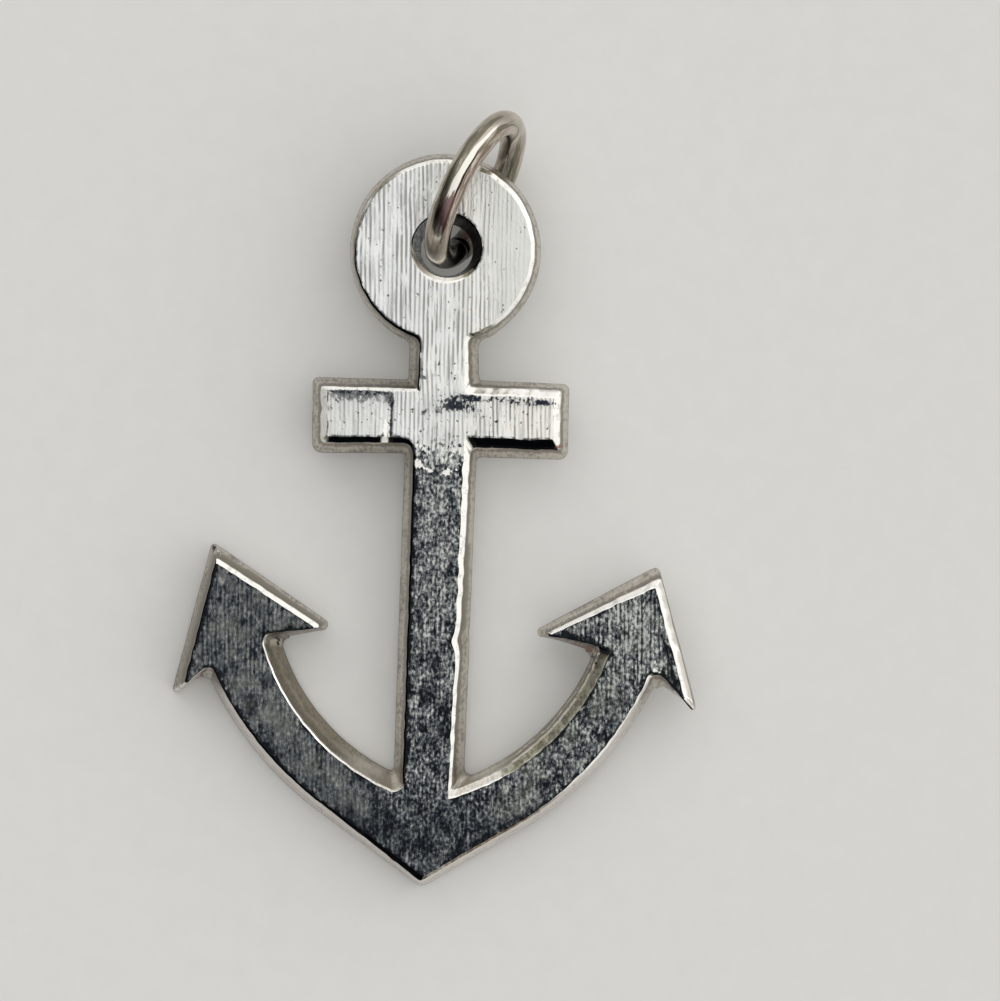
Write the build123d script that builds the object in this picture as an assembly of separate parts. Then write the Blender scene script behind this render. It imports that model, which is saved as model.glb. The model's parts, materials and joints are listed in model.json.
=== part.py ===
from build123d import *
import math
import os
from dataclasses import dataclass

# An anchor pendant lying face up, cast in one piece, with a loose wire ring through its eye.
# The casting is drawn flat: x across, y up the shank from the crown's point, z out of its face.
# It is then laid down, so that it rests on the ring and on the left arm's lower edge.
# All sizes are in millimetres and all angles in degrees.

# The casting as a whole: its flat back is the largest outline and its walls draw in to the face
body_height = 30.0
thickness = 1.65
wall_draft = 0.28
bevel_width = 0.24
bevel_depth = 0.22
corner_round = 0.03
shortest_edge = 0.01

# The eye, a flat disc on top of the shank, with its own finer bevel
eye_diameter = 7.84
eye_draft = 0.23
eye_bevel = 0.14

# The hole in the eye, narrowest at the back, where the ring's wire has this much play
hole_play = 1.05
hole_draft = 0.32
hole_bevel = 0.09
hole_bevel_depth = 0.12

# The shank, between the eye and the crown
shank_face_width = 1.70
neck_fillet = 1.0

# The stock, the crossbar under the eye, and the groove across its left half
stock_length = 10.56
stock_height = 3.14
stock_level = 19.18
stock_draft = 0.32
stock_bevel = 0.33
groove_place = 1.87
groove_width = 0.58
groove_depth = 0.20
groove_steep_side = 0.10
groove_top_land = 0.12

# The arms: straight from the crown's point to the bend, then curved up to the flukes
crown_point_inset = 0.55
bend_out = 4.2
bend_up = 3.3
bay_floor = 3.95
bay_fillet = 0.9
arm_inner_sag = 1.2
outer_notch_out = 9.0
outer_notch_up = 9.0
inner_notch_out = 7.0
inner_notch_up = 10.1
notch_fillet = 0.62

# The flukes: how far the higher peak stands over the outer notch at its root
fluke_height = 4.30

# The jump ring: round wire, closed but for a hairline cut
wire_diameter = 1.05
ring_inner_diameter = 4.90
ring_cut = 0.06
ring_cut_angle = 215.0

# How the ring stands: its turn from the shank's line, its slope, the height of its centre over
# the casting's back, and how far its wire stands off the hole's axis as shares of the play
ring_turn = 25.8
ring_slope = 75.6
ring_centre_height = 1.5
ring_lean_across = 0.385
ring_lean_along = 0.085

# How often the floor is laid against the ring before it touches it truly
floor_rounds = 20


@dataclass
class Fluke:
    """Corners of a fluke's face, measured from the notches at its root in shares of its height."""

    peak_in: float
    peak_rise: float
    inner_barb_reach: float
    inner_barb_rise: float
    outer_barb_reach: float
    outer_barb_drop: float

    def corners(self):
        """The outer barb, the peak and the inner barb: out from the shank's middle, and up."""
        peak = (
            outer_notch_out - self.peak_in * fluke_height,
            outer_notch_up + self.peak_rise * fluke_height,
        )
        inner_barb = (
            inner_notch_out - self.inner_barb_reach * fluke_height,
            inner_notch_up + self.inner_barb_rise * fluke_height,
        )
        outer_barb = (
            outer_notch_out + self.outer_barb_reach * fluke_height,
            outer_notch_up - self.outer_barb_drop * fluke_height,
        )
        return outer_barb, peak, inner_barb


left_fluke = Fluke(
    peak_in=0.007,
    peak_rise=1.0,
    inner_barb_reach=0.512,
    inner_barb_rise=0.098,
    outer_barb_reach=0.221,
    outer_barb_drop=0.214,
)
right_fluke = Fluke(
    peak_in=0.021,
    peak_rise=0.884,
    inner_barb_reach=0.481,
    inner_barb_rise=0.086,
    outer_barb_reach=0.279,
    outer_barb_drop=0.260,
)

# Worked out from the sizes above
wall_height = thickness - bevel_depth
eye_radius = eye_diameter / 2
eye_centre = body_height - eye_radius
eye_face_radius = eye_radius - eye_draft - eye_bevel
full_slope = wall_draft + bevel_width + corner_round
stock_full_slope = stock_draft + stock_bevel + corner_round
hole_radius = (wire_diameter + hole_play) / 2
wire_radius = wire_diameter / 2
ring_radius = ring_inner_diameter / 2 + wire_radius


def vertex_near(sketch, x, y):
    """The corner of a sketch that lies nearest to a place."""
    return sketch.vertices().sort_by_distance((x, y, 0))[0]


def grown(core, amount):
    """A core outline moved outwards: its sharp corners turn into arcs, and specks of edges go."""
    edges = offset(core, amount, kind=Kind.ARC).edges()
    return make_face(Wire([edge for edge in edges if edge.length > shortest_edge]))


def drawn_in(core, draft, bevel):
    """A plate whose outline is a core outline grown at the back and drawn in towards the face."""
    back = grown(core, draft + bevel + corner_round)
    shoulder = grown(core, bevel + corner_round)
    wall = extrude(back, amount=wall_height, taper=math.degrees(math.atan(draft / wall_height)))
    edge = extrude(shoulder, amount=bevel_depth, taper=math.degrees(math.atan(bevel / bevel_depth)))
    return wall + Pos(0, 0, wall_height) * edge


def arm_and_fluke(sign, fluke):
    """The core outline of one arm with its fluke, on the side that the sign gives."""
    point = (0, crown_point_inset)
    bend = (sign * bend_out, bend_up)
    outer_notch = (sign * outer_notch_out, outer_notch_up)
    inner_notch = (sign * inner_notch_out, inner_notch_up)
    bay_corner = (sign * shank_face_width / 2, bay_floor)
    with BuildSketch() as outline:
        with BuildLine():
            lower_edge = Line(point, bend)
            TangentArc(bend, outer_notch, tangent=lower_edge % 1)
            Polyline(outer_notch, *[(sign * out, up) for out, up in fluke.corners()], inner_notch)
            SagittaArc(inner_notch, bay_corner, sign * arm_inner_sag)
            Polyline(bay_corner, (0, bay_floor), point)
        make_face()
    return outline.sketch


def body_core():
    """The core outline of shank, arms and flukes, with the root of the eye, its hollows rounded."""
    neck_root = eye_face_radius - full_slope + eye_draft
    shank_length = eye_centre - bay_floor
    shank = Pos(0, bay_floor + shank_length / 2) * Rectangle(shank_face_width, shank_length)
    core = shank + Pos(0, eye_centre) * Circle(neck_root)
    core = core + arm_and_fluke(-1, left_fluke) + arm_and_fluke(1, right_fluke)
    half = shank_face_width / 2
    neck_level = eye_centre - math.sqrt(neck_root**2 - half**2)
    hollows = [
        (half, neck_level, neck_fillet),
        (half, bay_floor, bay_fillet),
        (inner_notch_out, inner_notch_up, notch_fillet),
        (outer_notch_out, outer_notch_up, notch_fillet),
    ]
    for out, up, radius in hollows:
        pair = [vertex_near(core, sign * out, up) for sign in (-1, 1)]
        core = fillet(pair, radius)
    return core


def eye_disc():
    """The disc of the eye: a drafted wall and a fine bevel."""
    shoulder = eye_face_radius + eye_bevel
    wall = Cone(eye_radius, shoulder, wall_height, align=(Align.CENTER, Align.CENTER, Align.MIN))
    edge = Cone(shoulder, eye_face_radius, bevel_depth, align=(Align.CENTER, Align.CENTER, Align.MIN))
    return Pos(0, eye_centre) * (wall + Pos(0, 0, wall_height) * edge)


def eye_hole():
    """What is cut away for the hole: widest at the face, with a small bevel there."""
    bevel_foot = thickness - hole_bevel_depth
    with BuildPart() as hole:
        with BuildSketch(Plane.XZ):
            with BuildLine():
                Polyline(
                    (0, 0),
                    (hole_radius, 0),
                    (hole_radius + hole_draft, bevel_foot),
                    (hole_radius + hole_draft + hole_bevel, thickness),
                    (0, thickness),
                    close=True,
                )
            make_face()
        revolve(axis=Axis.Z)
    return Pos(0, eye_centre) * hole.part


def stock_bar():
    """The crossbar, drawn in on all four sides."""
    core = Rectangle(stock_length - 2 * stock_full_slope, stock_height - 2 * stock_full_slope)
    return Pos(0, stock_level) * drawn_in(core, stock_draft, stock_bevel)


def stock_groove():
    """The groove across the stock's left half: a long slope and a steep one, open at the lower edge."""
    low = stock_level - stock_height
    high = stock_level + stock_height / 2 - stock_full_slope - groove_top_land
    with BuildPart() as groove:
        with BuildSketch(Plane.XZ.offset(-high)):
            with BuildLine():
                Polyline(
                    (-groove_place - groove_width, thickness),
                    (-groove_place - groove_steep_side, thickness - groove_depth),
                    (-groove_place, thickness),
                    close=True,
                )
            make_face()
        extrude(amount=high - low)
    return groove.part


def anchor_flat():
    """The whole casting, in its own flat frame."""
    casting = drawn_in(body_core(), wall_draft, bevel_width)
    casting = casting + stock_bar() + eye_disc()
    return casting - eye_hole() - stock_groove()


def ring_axes():
    """The ring's two in-plane directions: along the casting's back, and up through its face."""
    turn = math.radians(ring_turn)
    slope = math.radians(ring_slope)
    along = Vector(math.sin(turn), math.cos(turn), 0)
    across = Vector(math.cos(turn), -math.sin(turn), 0)
    rising = Vector(0, 0, math.sin(slope)) - across * math.cos(slope)
    return along, across, rising


def ring_centre():
    """The ring's centre, from where its wire passes the hole at the casting's back."""
    along, across, rising = ring_axes()
    sine = ring_centre_height / (ring_radius * rising.Z)
    cosine = math.sqrt(1 - sine**2)
    crossing = Vector(0, eye_centre, 0)
    crossing = crossing + across * (ring_lean_across * hole_play) + along * (ring_lean_along * hole_play)
    return crossing + along * (ring_radius * cosine) + rising * (ring_radius * sine)


def ring_flat():
    """The wire ring in the casting's flat frame, with its hairline cut low behind the eye."""
    along, _, rising = ring_axes()
    loop = Torus(ring_radius, wire_radius)
    gap = Pos(ring_radius, 0, 0) * Box(2 * wire_diameter, ring_cut, 2 * wire_diameter)
    loop = loop - Rot(0, 0, ring_cut_angle) * gap
    stand = Plane(origin=ring_centre(), x_dir=along, z_dir=along.cross(rising))
    return stand.location * loop


def feet_on_left():
    """Back-edge points that may touch the floor: both ends of the arm's straight edge, and the barb."""
    point = Vector(0, crown_point_inset, 0)
    bend = Vector(-bend_out, bend_up, 0)
    edge = (bend - point).normalized()
    outward = Vector(-edge.Y, edge.X, 0) * full_slope
    barb_out, barb_up = left_fluke.corners()[0]
    barb = Vector(-barb_out, barb_up, 0)
    return [point + outward, bend + outward, barb + outward]


def floor_on(foot_a, foot_b):
    """The plane that touches the ring from below and passes through two feet."""
    along, _, rising = ring_axes()
    centre = ring_centre()
    up = Vector(0, 0, 1)
    for _ in range(floor_rounds):
        in_ring = along * up.dot(along) + rising * up.dot(rising)
        under_ring = centre - in_ring.normalized() * ring_radius - up * wire_radius
        up = (under_ring - foot_a).cross(foot_b - foot_a).normalized()
    shank_line = Vector(0, 1, 0) - up * up.Y
    return Plane(origin=foot_a, x_dir=shank_line.cross(up), z_dir=up)


def resting_floor():
    """The floor in the flat frame: the ring touches it, and so do the two lowest feet on the left."""
    feet = feet_on_left()
    floors = [floor_on(feet[i], feet[i + 1]) for i in range(len(feet) - 1)]
    return max(floors, key=lambda floor: min(floor.to_local_coords(foot).Z for foot in feet))


def main():
    """Build both pieces, lay them on the floor and write one file for each."""
    floor = resting_floor()
    pieces = {
        "anchor": floor.to_local_coords(anchor_flat()),
        "jump_ring": floor.to_local_coords(ring_flat()),
    }
    box = Compound(children=list(pieces.values())).bounding_box()
    middle = box.center()
    to_origin = Pos(-middle.X, -middle.Y, -box.min.Z)
    os.makedirs("parts", exist_ok=True)
    for name, piece in pieces.items():
        solid = (to_origin * piece).solid()
        export_step(solid, "parts/" + name + ".step")
        print(name, "volume", round(solid.volume, 2), "box", solid.bounding_box())
    print("floor normal in the flat frame", floor.z_dir, "floor shift", middle, box.min.Z)


main()
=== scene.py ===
"""The looks of an anchor pendant: a cast silver anchor, dark below its stock, and its loose wire ring.

The casting is drawn flat, as a maker draws it: x across the face, y up the shank from the crown's
point, z out of the face. Sizes are in millimetres, and the meshes are laid on the solids in metres.
"""

import json
import logging
import math
from collections.abc import Callable, Sequence
from dataclasses import dataclass, field
from enum import Enum
from typing import Any

import bpy
import numpy as np
from mathutils import Matrix, Vector
from mathutils.geometry import delaunay_2d_cdt
from mathutils.kdtree import KDTree

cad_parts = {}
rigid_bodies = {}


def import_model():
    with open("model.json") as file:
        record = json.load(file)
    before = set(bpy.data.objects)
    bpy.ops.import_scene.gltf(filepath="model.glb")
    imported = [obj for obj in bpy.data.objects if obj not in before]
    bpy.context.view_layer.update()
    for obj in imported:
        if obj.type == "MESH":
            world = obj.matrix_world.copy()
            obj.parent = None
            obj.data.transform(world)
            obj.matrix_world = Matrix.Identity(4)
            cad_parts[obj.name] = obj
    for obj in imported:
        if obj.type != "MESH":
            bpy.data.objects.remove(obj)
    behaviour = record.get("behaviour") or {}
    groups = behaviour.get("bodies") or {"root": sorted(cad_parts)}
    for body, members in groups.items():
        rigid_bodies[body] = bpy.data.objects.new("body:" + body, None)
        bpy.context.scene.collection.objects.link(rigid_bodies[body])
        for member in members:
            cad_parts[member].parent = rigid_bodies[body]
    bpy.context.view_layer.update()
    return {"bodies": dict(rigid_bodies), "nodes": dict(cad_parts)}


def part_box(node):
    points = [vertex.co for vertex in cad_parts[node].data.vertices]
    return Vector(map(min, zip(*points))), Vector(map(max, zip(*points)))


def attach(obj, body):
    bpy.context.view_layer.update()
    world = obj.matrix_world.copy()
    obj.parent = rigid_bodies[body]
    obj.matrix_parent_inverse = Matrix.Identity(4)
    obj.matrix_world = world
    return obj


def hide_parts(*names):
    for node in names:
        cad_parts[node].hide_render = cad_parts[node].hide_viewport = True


LOG = logging.getLogger("pendant")
MM = 0.001

Colour = tuple[float, float, float]
Span = tuple[float, float]

# The numbers of the Mix node's sockets for colours.
MIX_SHARE, MIX_UNDER, MIX_OVER, MIX_RESULT = 0, 6, 7, 2


class Shade:
    """An output socket of a shader tree, on which Python's arithmetic adds Math nodes."""

    def __init__(self, bench: "Bench", socket: bpy.types.NodeSocket) -> None:
        """Wraps one output socket of a bench's tree.

        Args:
            bench: the tree that the socket belongs to.
            socket: the output socket.
        """
        self.bench = bench
        self.socket = socket

    def math(self, operation: str, *values: "Shade | float") -> "Shade":
        """Adds one Math node.

        Args:
            operation: the node's operation.
            values: its inputs, in order.

        Returns:
            The node's output.
        """
        sockets = dict(enumerate(values))
        return self.bench.node("ShaderNodeMath", {"operation": operation}, sockets)

    def __add__(self, other: "Shade | float") -> "Shade":
        """The sum."""
        return self.math("ADD", self, other)

    def __radd__(self, other: float) -> "Shade":
        """The sum, with a number on the left."""
        return self.math("ADD", other, self)

    def __sub__(self, other: "Shade | float") -> "Shade":
        """The difference."""
        return self.math("SUBTRACT", self, other)

    def __rsub__(self, other: float) -> "Shade":
        """The difference, with a number on the left."""
        return self.math("SUBTRACT", other, self)

    def __mul__(self, other: "Shade | float") -> "Shade":
        """The product."""
        return self.math("MULTIPLY", self, other)

    def __rmul__(self, other: float) -> "Shade":
        """The product, with a number on the left."""
        return self.math("MULTIPLY", other, self)

    def sine(self) -> "Shade":
        """The sine of an angle in radians."""
        return self.math("SINE", self)

    def clipped(self) -> "Shade":
        """The value held between 0 and 1."""
        return self.math("MINIMUM", self.math("MAXIMUM", self, 0.0), 1.0)

    def most(self, other: "Shade | float") -> "Shade":
        """The larger of two values."""
        return self.math("MAXIMUM", self, other)

    def waver(self, noise: "Shade", width: float) -> "Shade":
        """The value made uneven by a noise about 0.5, over a width."""
        return self + (noise - 0.5) * width

    def rise(self, low: float, high: float) -> "Shade":
        """Rises smoothly from 0 to 1 between two values.

        Args:
            low: where the result is 0.
            high: where it is 1. It may be under low, for a fall.

        Returns:
            The smooth step.
        """
        if high < low:
            return 1.0 - self.rise(high, low)
        return self.bench.node(
            "ShaderNodeMapRange",
            {"interpolation_type": "SMOOTHSTEP", "clamp": True},
            {"Value": self, "From Min": low, "From Max": high},
        )


# How much of a colour shows over what lies below it, and the colour.
Coat = tuple[Shade, Shade | Colour]


class Bench:
    """The node tree of one finish, with the ways of adding to it."""

    def __init__(self, tree: bpy.types.NodeTree) -> None:
        """Starts with an emptied tree.

        Args:
            tree: the node tree of a material or of the world.
        """
        self.tree = tree
        tree.nodes.clear()

    def node(self, kind: str, settings: dict[str, Any], sockets: dict[Any, Any], output: Any = 0) -> Shade:
        """Adds any node.

        Args:
            kind: the node's type.
            settings: its own settings, and "stops" for the places and colours of a ramp.
            sockets: values or links for its inputs, by name or number.
            output: which output to return.

        Returns:
            The chosen output.
        """
        node = self.tree.nodes.new(kind)
        for key, value in settings.items():
            if key == "stops":
                self._set_stops(node.color_ramp, value)
            else:
                setattr(node, key, value)
        for key, value in sockets.items():
            if isinstance(value, Shade):
                self.tree.links.new(value.socket, node.inputs[key])
            else:
                node.inputs[key].default_value = value
        return Shade(self, node.outputs[output])

    @staticmethod
    def _set_stops(ramp: bpy.types.ColorRamp, stops: list[tuple[float, Colour]]) -> None:
        """Gives a ramp its stops.

        Args:
            ramp: the ramp, which has two stops to begin with.
            stops: places and colours, from left to right.
        """
        while len(ramp.elements) < len(stops):
            ramp.elements.new(1.0)
        for element, (place, colour) in zip(ramp.elements, stops):
            element.position = place
            element.color = (*colour, 1.0)

    def attribute(self, name: str, output: str = "Fac") -> Shade:
        """Reads a value that the mesh carries."""
        return self.node("ShaderNodeAttribute", {"attribute_name": name}, {}, output)

    def split(self, vector: Shade) -> tuple[Shade, Shade, Shade]:
        """The three parts of a vector."""
        parts = self.node("ShaderNodeSeparateXYZ", {}, {0: vector}).socket.node.outputs
        return Shade(self, parts[0]), Shade(self, parts[1]), Shade(self, parts[2])

    def join(self, x: Shade | float, y: Shade | float, z: Shade | float) -> Shade:
        """A vector from its three parts."""
        return self.node("ShaderNodeCombineXYZ", {}, {0: x, 1: y, 2: z})

    def noise(self, place: Shade, scale: float, detail: float = 2.0, roughness: float = 0.5) -> Shade:
        """Cloudy noise about 0.5.

        Args:
            place: where it is read, in millimetres.
            scale: how many features there are in a millimetre.
            detail: how many finer layers it has.
            roughness: how strong they are.

        Returns:
            The noise's value.
        """
        sockets = {"Vector": place, "Scale": scale, "Detail": detail, "Roughness": roughness}
        return self.node("ShaderNodeTexNoise", {"noise_dimensions": "3D"}, sockets)

    def mix(self, share: Shade, under: Shade | Colour, over: Shade | Colour) -> Shade:
        """Lays one colour over another.

        Args:
            share: how much of the upper colour shows, from 0 to 1.
            under: the colour below.
            over: the colour above.

        Returns:
            The mixed colour.
        """
        first, second = [c if isinstance(c, Shade) else (*c, 1.0) for c in (under, over)]
        settings = {"data_type": "RGBA", "clamp_factor": True}
        sockets = {MIX_SHARE: share, MIX_UNDER: first, MIX_OVER: second}
        return self.node("ShaderNodeMix", settings, sockets, MIX_RESULT)

    def coats(self, ground: Shade | Colour, *coats: Coat) -> Shade:
        """Lays several colours over one, one after another.

        Args:
            ground: the colour below.
            coats: the coats, from the lowest to the uppermost.

        Returns:
            The mixed colour.
        """
        for share, colour in coats:
            ground = self.mix(share, ground, colour)
        return ground

    def bump(self, height: Shade) -> Shade:
        """A normal from a height in millimetres."""
        return self.node("ShaderNodeBump", {}, {"Strength": 1.0, "Distance": MM, "Height": height})

    def surface(self, **sockets: Shade | float | tuple) -> None:
        """Ends a material's tree in one shader.

        Args:
            sockets: values and links of the shader, with _ for the spaces in its sockets' names.
        """
        named = {key.replace("_", " "): value for key, value in sockets.items()}
        shader = self.node("ShaderNodeBsdfPrincipled", {}, named)
        self.ends_in("ShaderNodeOutputMaterial", shader)

    def ends_in(self, kind: str, shader: Shade) -> None:
        """Adds the tree's output node, fed by one shader."""
        node = self.tree.nodes.new(kind)
        self.tree.links.new(shader.socket, node.inputs["Surface"])


def new_material(name: str) -> tuple[bpy.types.Material, Bench]:
    """Makes an empty material.

    Args:
        name: its name.

    Returns:
        The material and its bench.
    """
    material = bpy.data.materials.new(name)
    material.use_nodes = True
    return material, Bench(material.node_tree)


class Paint(Enum):
    """What the listed touches paint on the casting: black patches, partly real and partly painted shade in
    corners and along edges; painted highlights on edges and bevels; a copper tint; and wear of the
    darkening. The value is the name that the finish reads.
    """

    SOOT_AND_SHADE = "soot"
    GLEAM = "gleam"
    COPPER = "copper"
    BEVEL_HIGHLIGHT = "lift"
    WORN = "worn"


@dataclass(frozen=True)
class Grit:
    """A noise over the casting's face, stretched up the shank.

    Args:
        across: how many features there are in a millimetre across the face.
        up: how many there are in a millimetre up the shank.
        layer: the depth of noise that it is cut from, so that no two are alike.
        detail: how many finer layers it has.
        roughness: how strong they are.
    """

    across: float
    up: float
    layer: float
    detail: float
    roughness: float


FINE_GRAIN = Grit(8.5, 5.95, 0.0, 2.0, 0.60)
RAGGED_EDGE = Grit(3.2, 2.56, 0.0, 3.0, 0.60)
LINE_SWAY = Grit(0.35, 0.22, 0.0, 2.0, 0.50)
LINE_BREAKS = Grit(2.52, 0.90, 5.4, 3.0, 0.65)
LINE_STRENGTH = Grit(2.9, 0.10, 11.0, 1.0, 0.50)
FINE_LINES = Grit(9.0, 0.45, 63.0, 2.0, 0.60)
SMEARS = Grit(0.9, 0.45, 4.0, 3.0, 0.60)
PEPPER = Grit(6.0, 4.8, 54.0, 1.0, 0.50)
STREAKS = Grit(8.0, 1.76, 40.0, 2.0, 0.60)
BLOTCHES = Grit(2.4, 1.44, 4.8, 3.0, 0.65)


@dataclass(frozen=True)
class Region:
    """A stretch of the casting with soft borders, each from where it starts to where it is full.

    Args:
        out: its border across the face, rising to the right or to the left.
        above: its lower border.
        below: its upper border.
    """

    out: Span | None = None
    above: Span | None = None
    below: Span | None = None


RIGHT_FLUKE = Region(out=(4.5, 7.5), above=(7.5, 9.5))
RIGHT_FLUKE_EDGE = Region(out=(7.0, 8.0), below=(13.5, 12.5))
RIGHT_FLUKE_CREST = Region(above=(10.2, 10.8), below=(14.2, 14.0))
LEFT_FLUKE = Region(out=(-4.2, -6.0), above=(7.5, 9.5))
LEFT_FLUKE_EDGE = Region(out=(-7.0, -8.0), above=(7.6, 8.4))
UNDER_FLUKES = Region(above=(9.3, 9.7), below=(11.6, 11.2))
LEFT_SIDE = Region(out=(-1.2, -3.0))
RIGHT_SIDE = Region(out=(0.5, 1.5))
EYE = Region(above=(22.0, 23.0))
EYE_FACE = Region(above=(22.6, 23.2))
EYE_AND_NECK = Region(above=(21.0, 22.5))
STOCK_LEFT_END = Region(out=(-1.8, -2.2), below=(20.5, 20.2))
STOCK_LEFT_HALF = Region(out=(0.6, -0.8))
CROWN = Region(below=(4.0, 2.6))
CROWN_EDGES = Region(below=(5.6, 4.6))


class Ground:
    """What the casting's mesh tells its finish at each point, and the noises that lie over it."""

    def __init__(self, bench: Bench) -> None:
        """Reads the mesh.

        Args:
            bench: the finish's bench.
        """
        self.bench = bench
        place = bench.attribute("flat", "Vector")
        self.across, self.up, _ = bench.split(place)
        self.band = bench.attribute("band")
        self.edge = bench.attribute("edge")
        self.lean_x, self.lean_y, _ = bench.split(bench.attribute("lean", "Vector"))
        # How much a side faces the upper right, where the light comes from: the finish paints highlight and
        # shade on bevels, edges and the hole by it.
        self.facing = self.lean_x * 0.8 + self.lean_y * 0.6
        self.on_face = self.band.rise(0.06, 0.0)
        self.on_wall = self.band.rise(0.92, 1.04)
        self.on_bevel = (1.0 - self.on_face) * (1.0 - self.on_wall)
        self.grain = self.grit(FINE_GRAIN)
        self.cloud = bench.noise(place, 1.1, 3.0, 0.6)
        self.ragged = self.grit(RAGGED_EDGE)

    def grit(self, grit: Grit) -> Shade:
        """One of the noises over the face."""
        place = self.bench.join(self.across * grit.across, self.up * grit.up, grit.layer)
        return self.bench.noise(place, 1.0, grit.detail, grit.roughness)

    def within(self, region: Region) -> Shade:
        """Masks a region.

        Args:
            region: the region.

        Returns:
            1 inside it and 0 outside.
        """
        borders = [
            shade.rise(*span)
            for shade, span in ((self.across, region.out), (self.up, region.above), (self.up, region.below))
            if span
        ]
        return math.prod(borders[1:], start=borders[0])

    def amount(self, paint: Paint) -> Shade:
        """How much of a paint lies there."""
        return self.bench.attribute(paint.value)

    def painted(self, paint: Paint) -> Shade:
        """A painted patch with a ragged border."""
        speckle = self.ragged * 0.4 + self.grain * 0.6
        return self.amount(paint).waver(speckle, 2.8).rise(0.42, 0.70)


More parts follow.
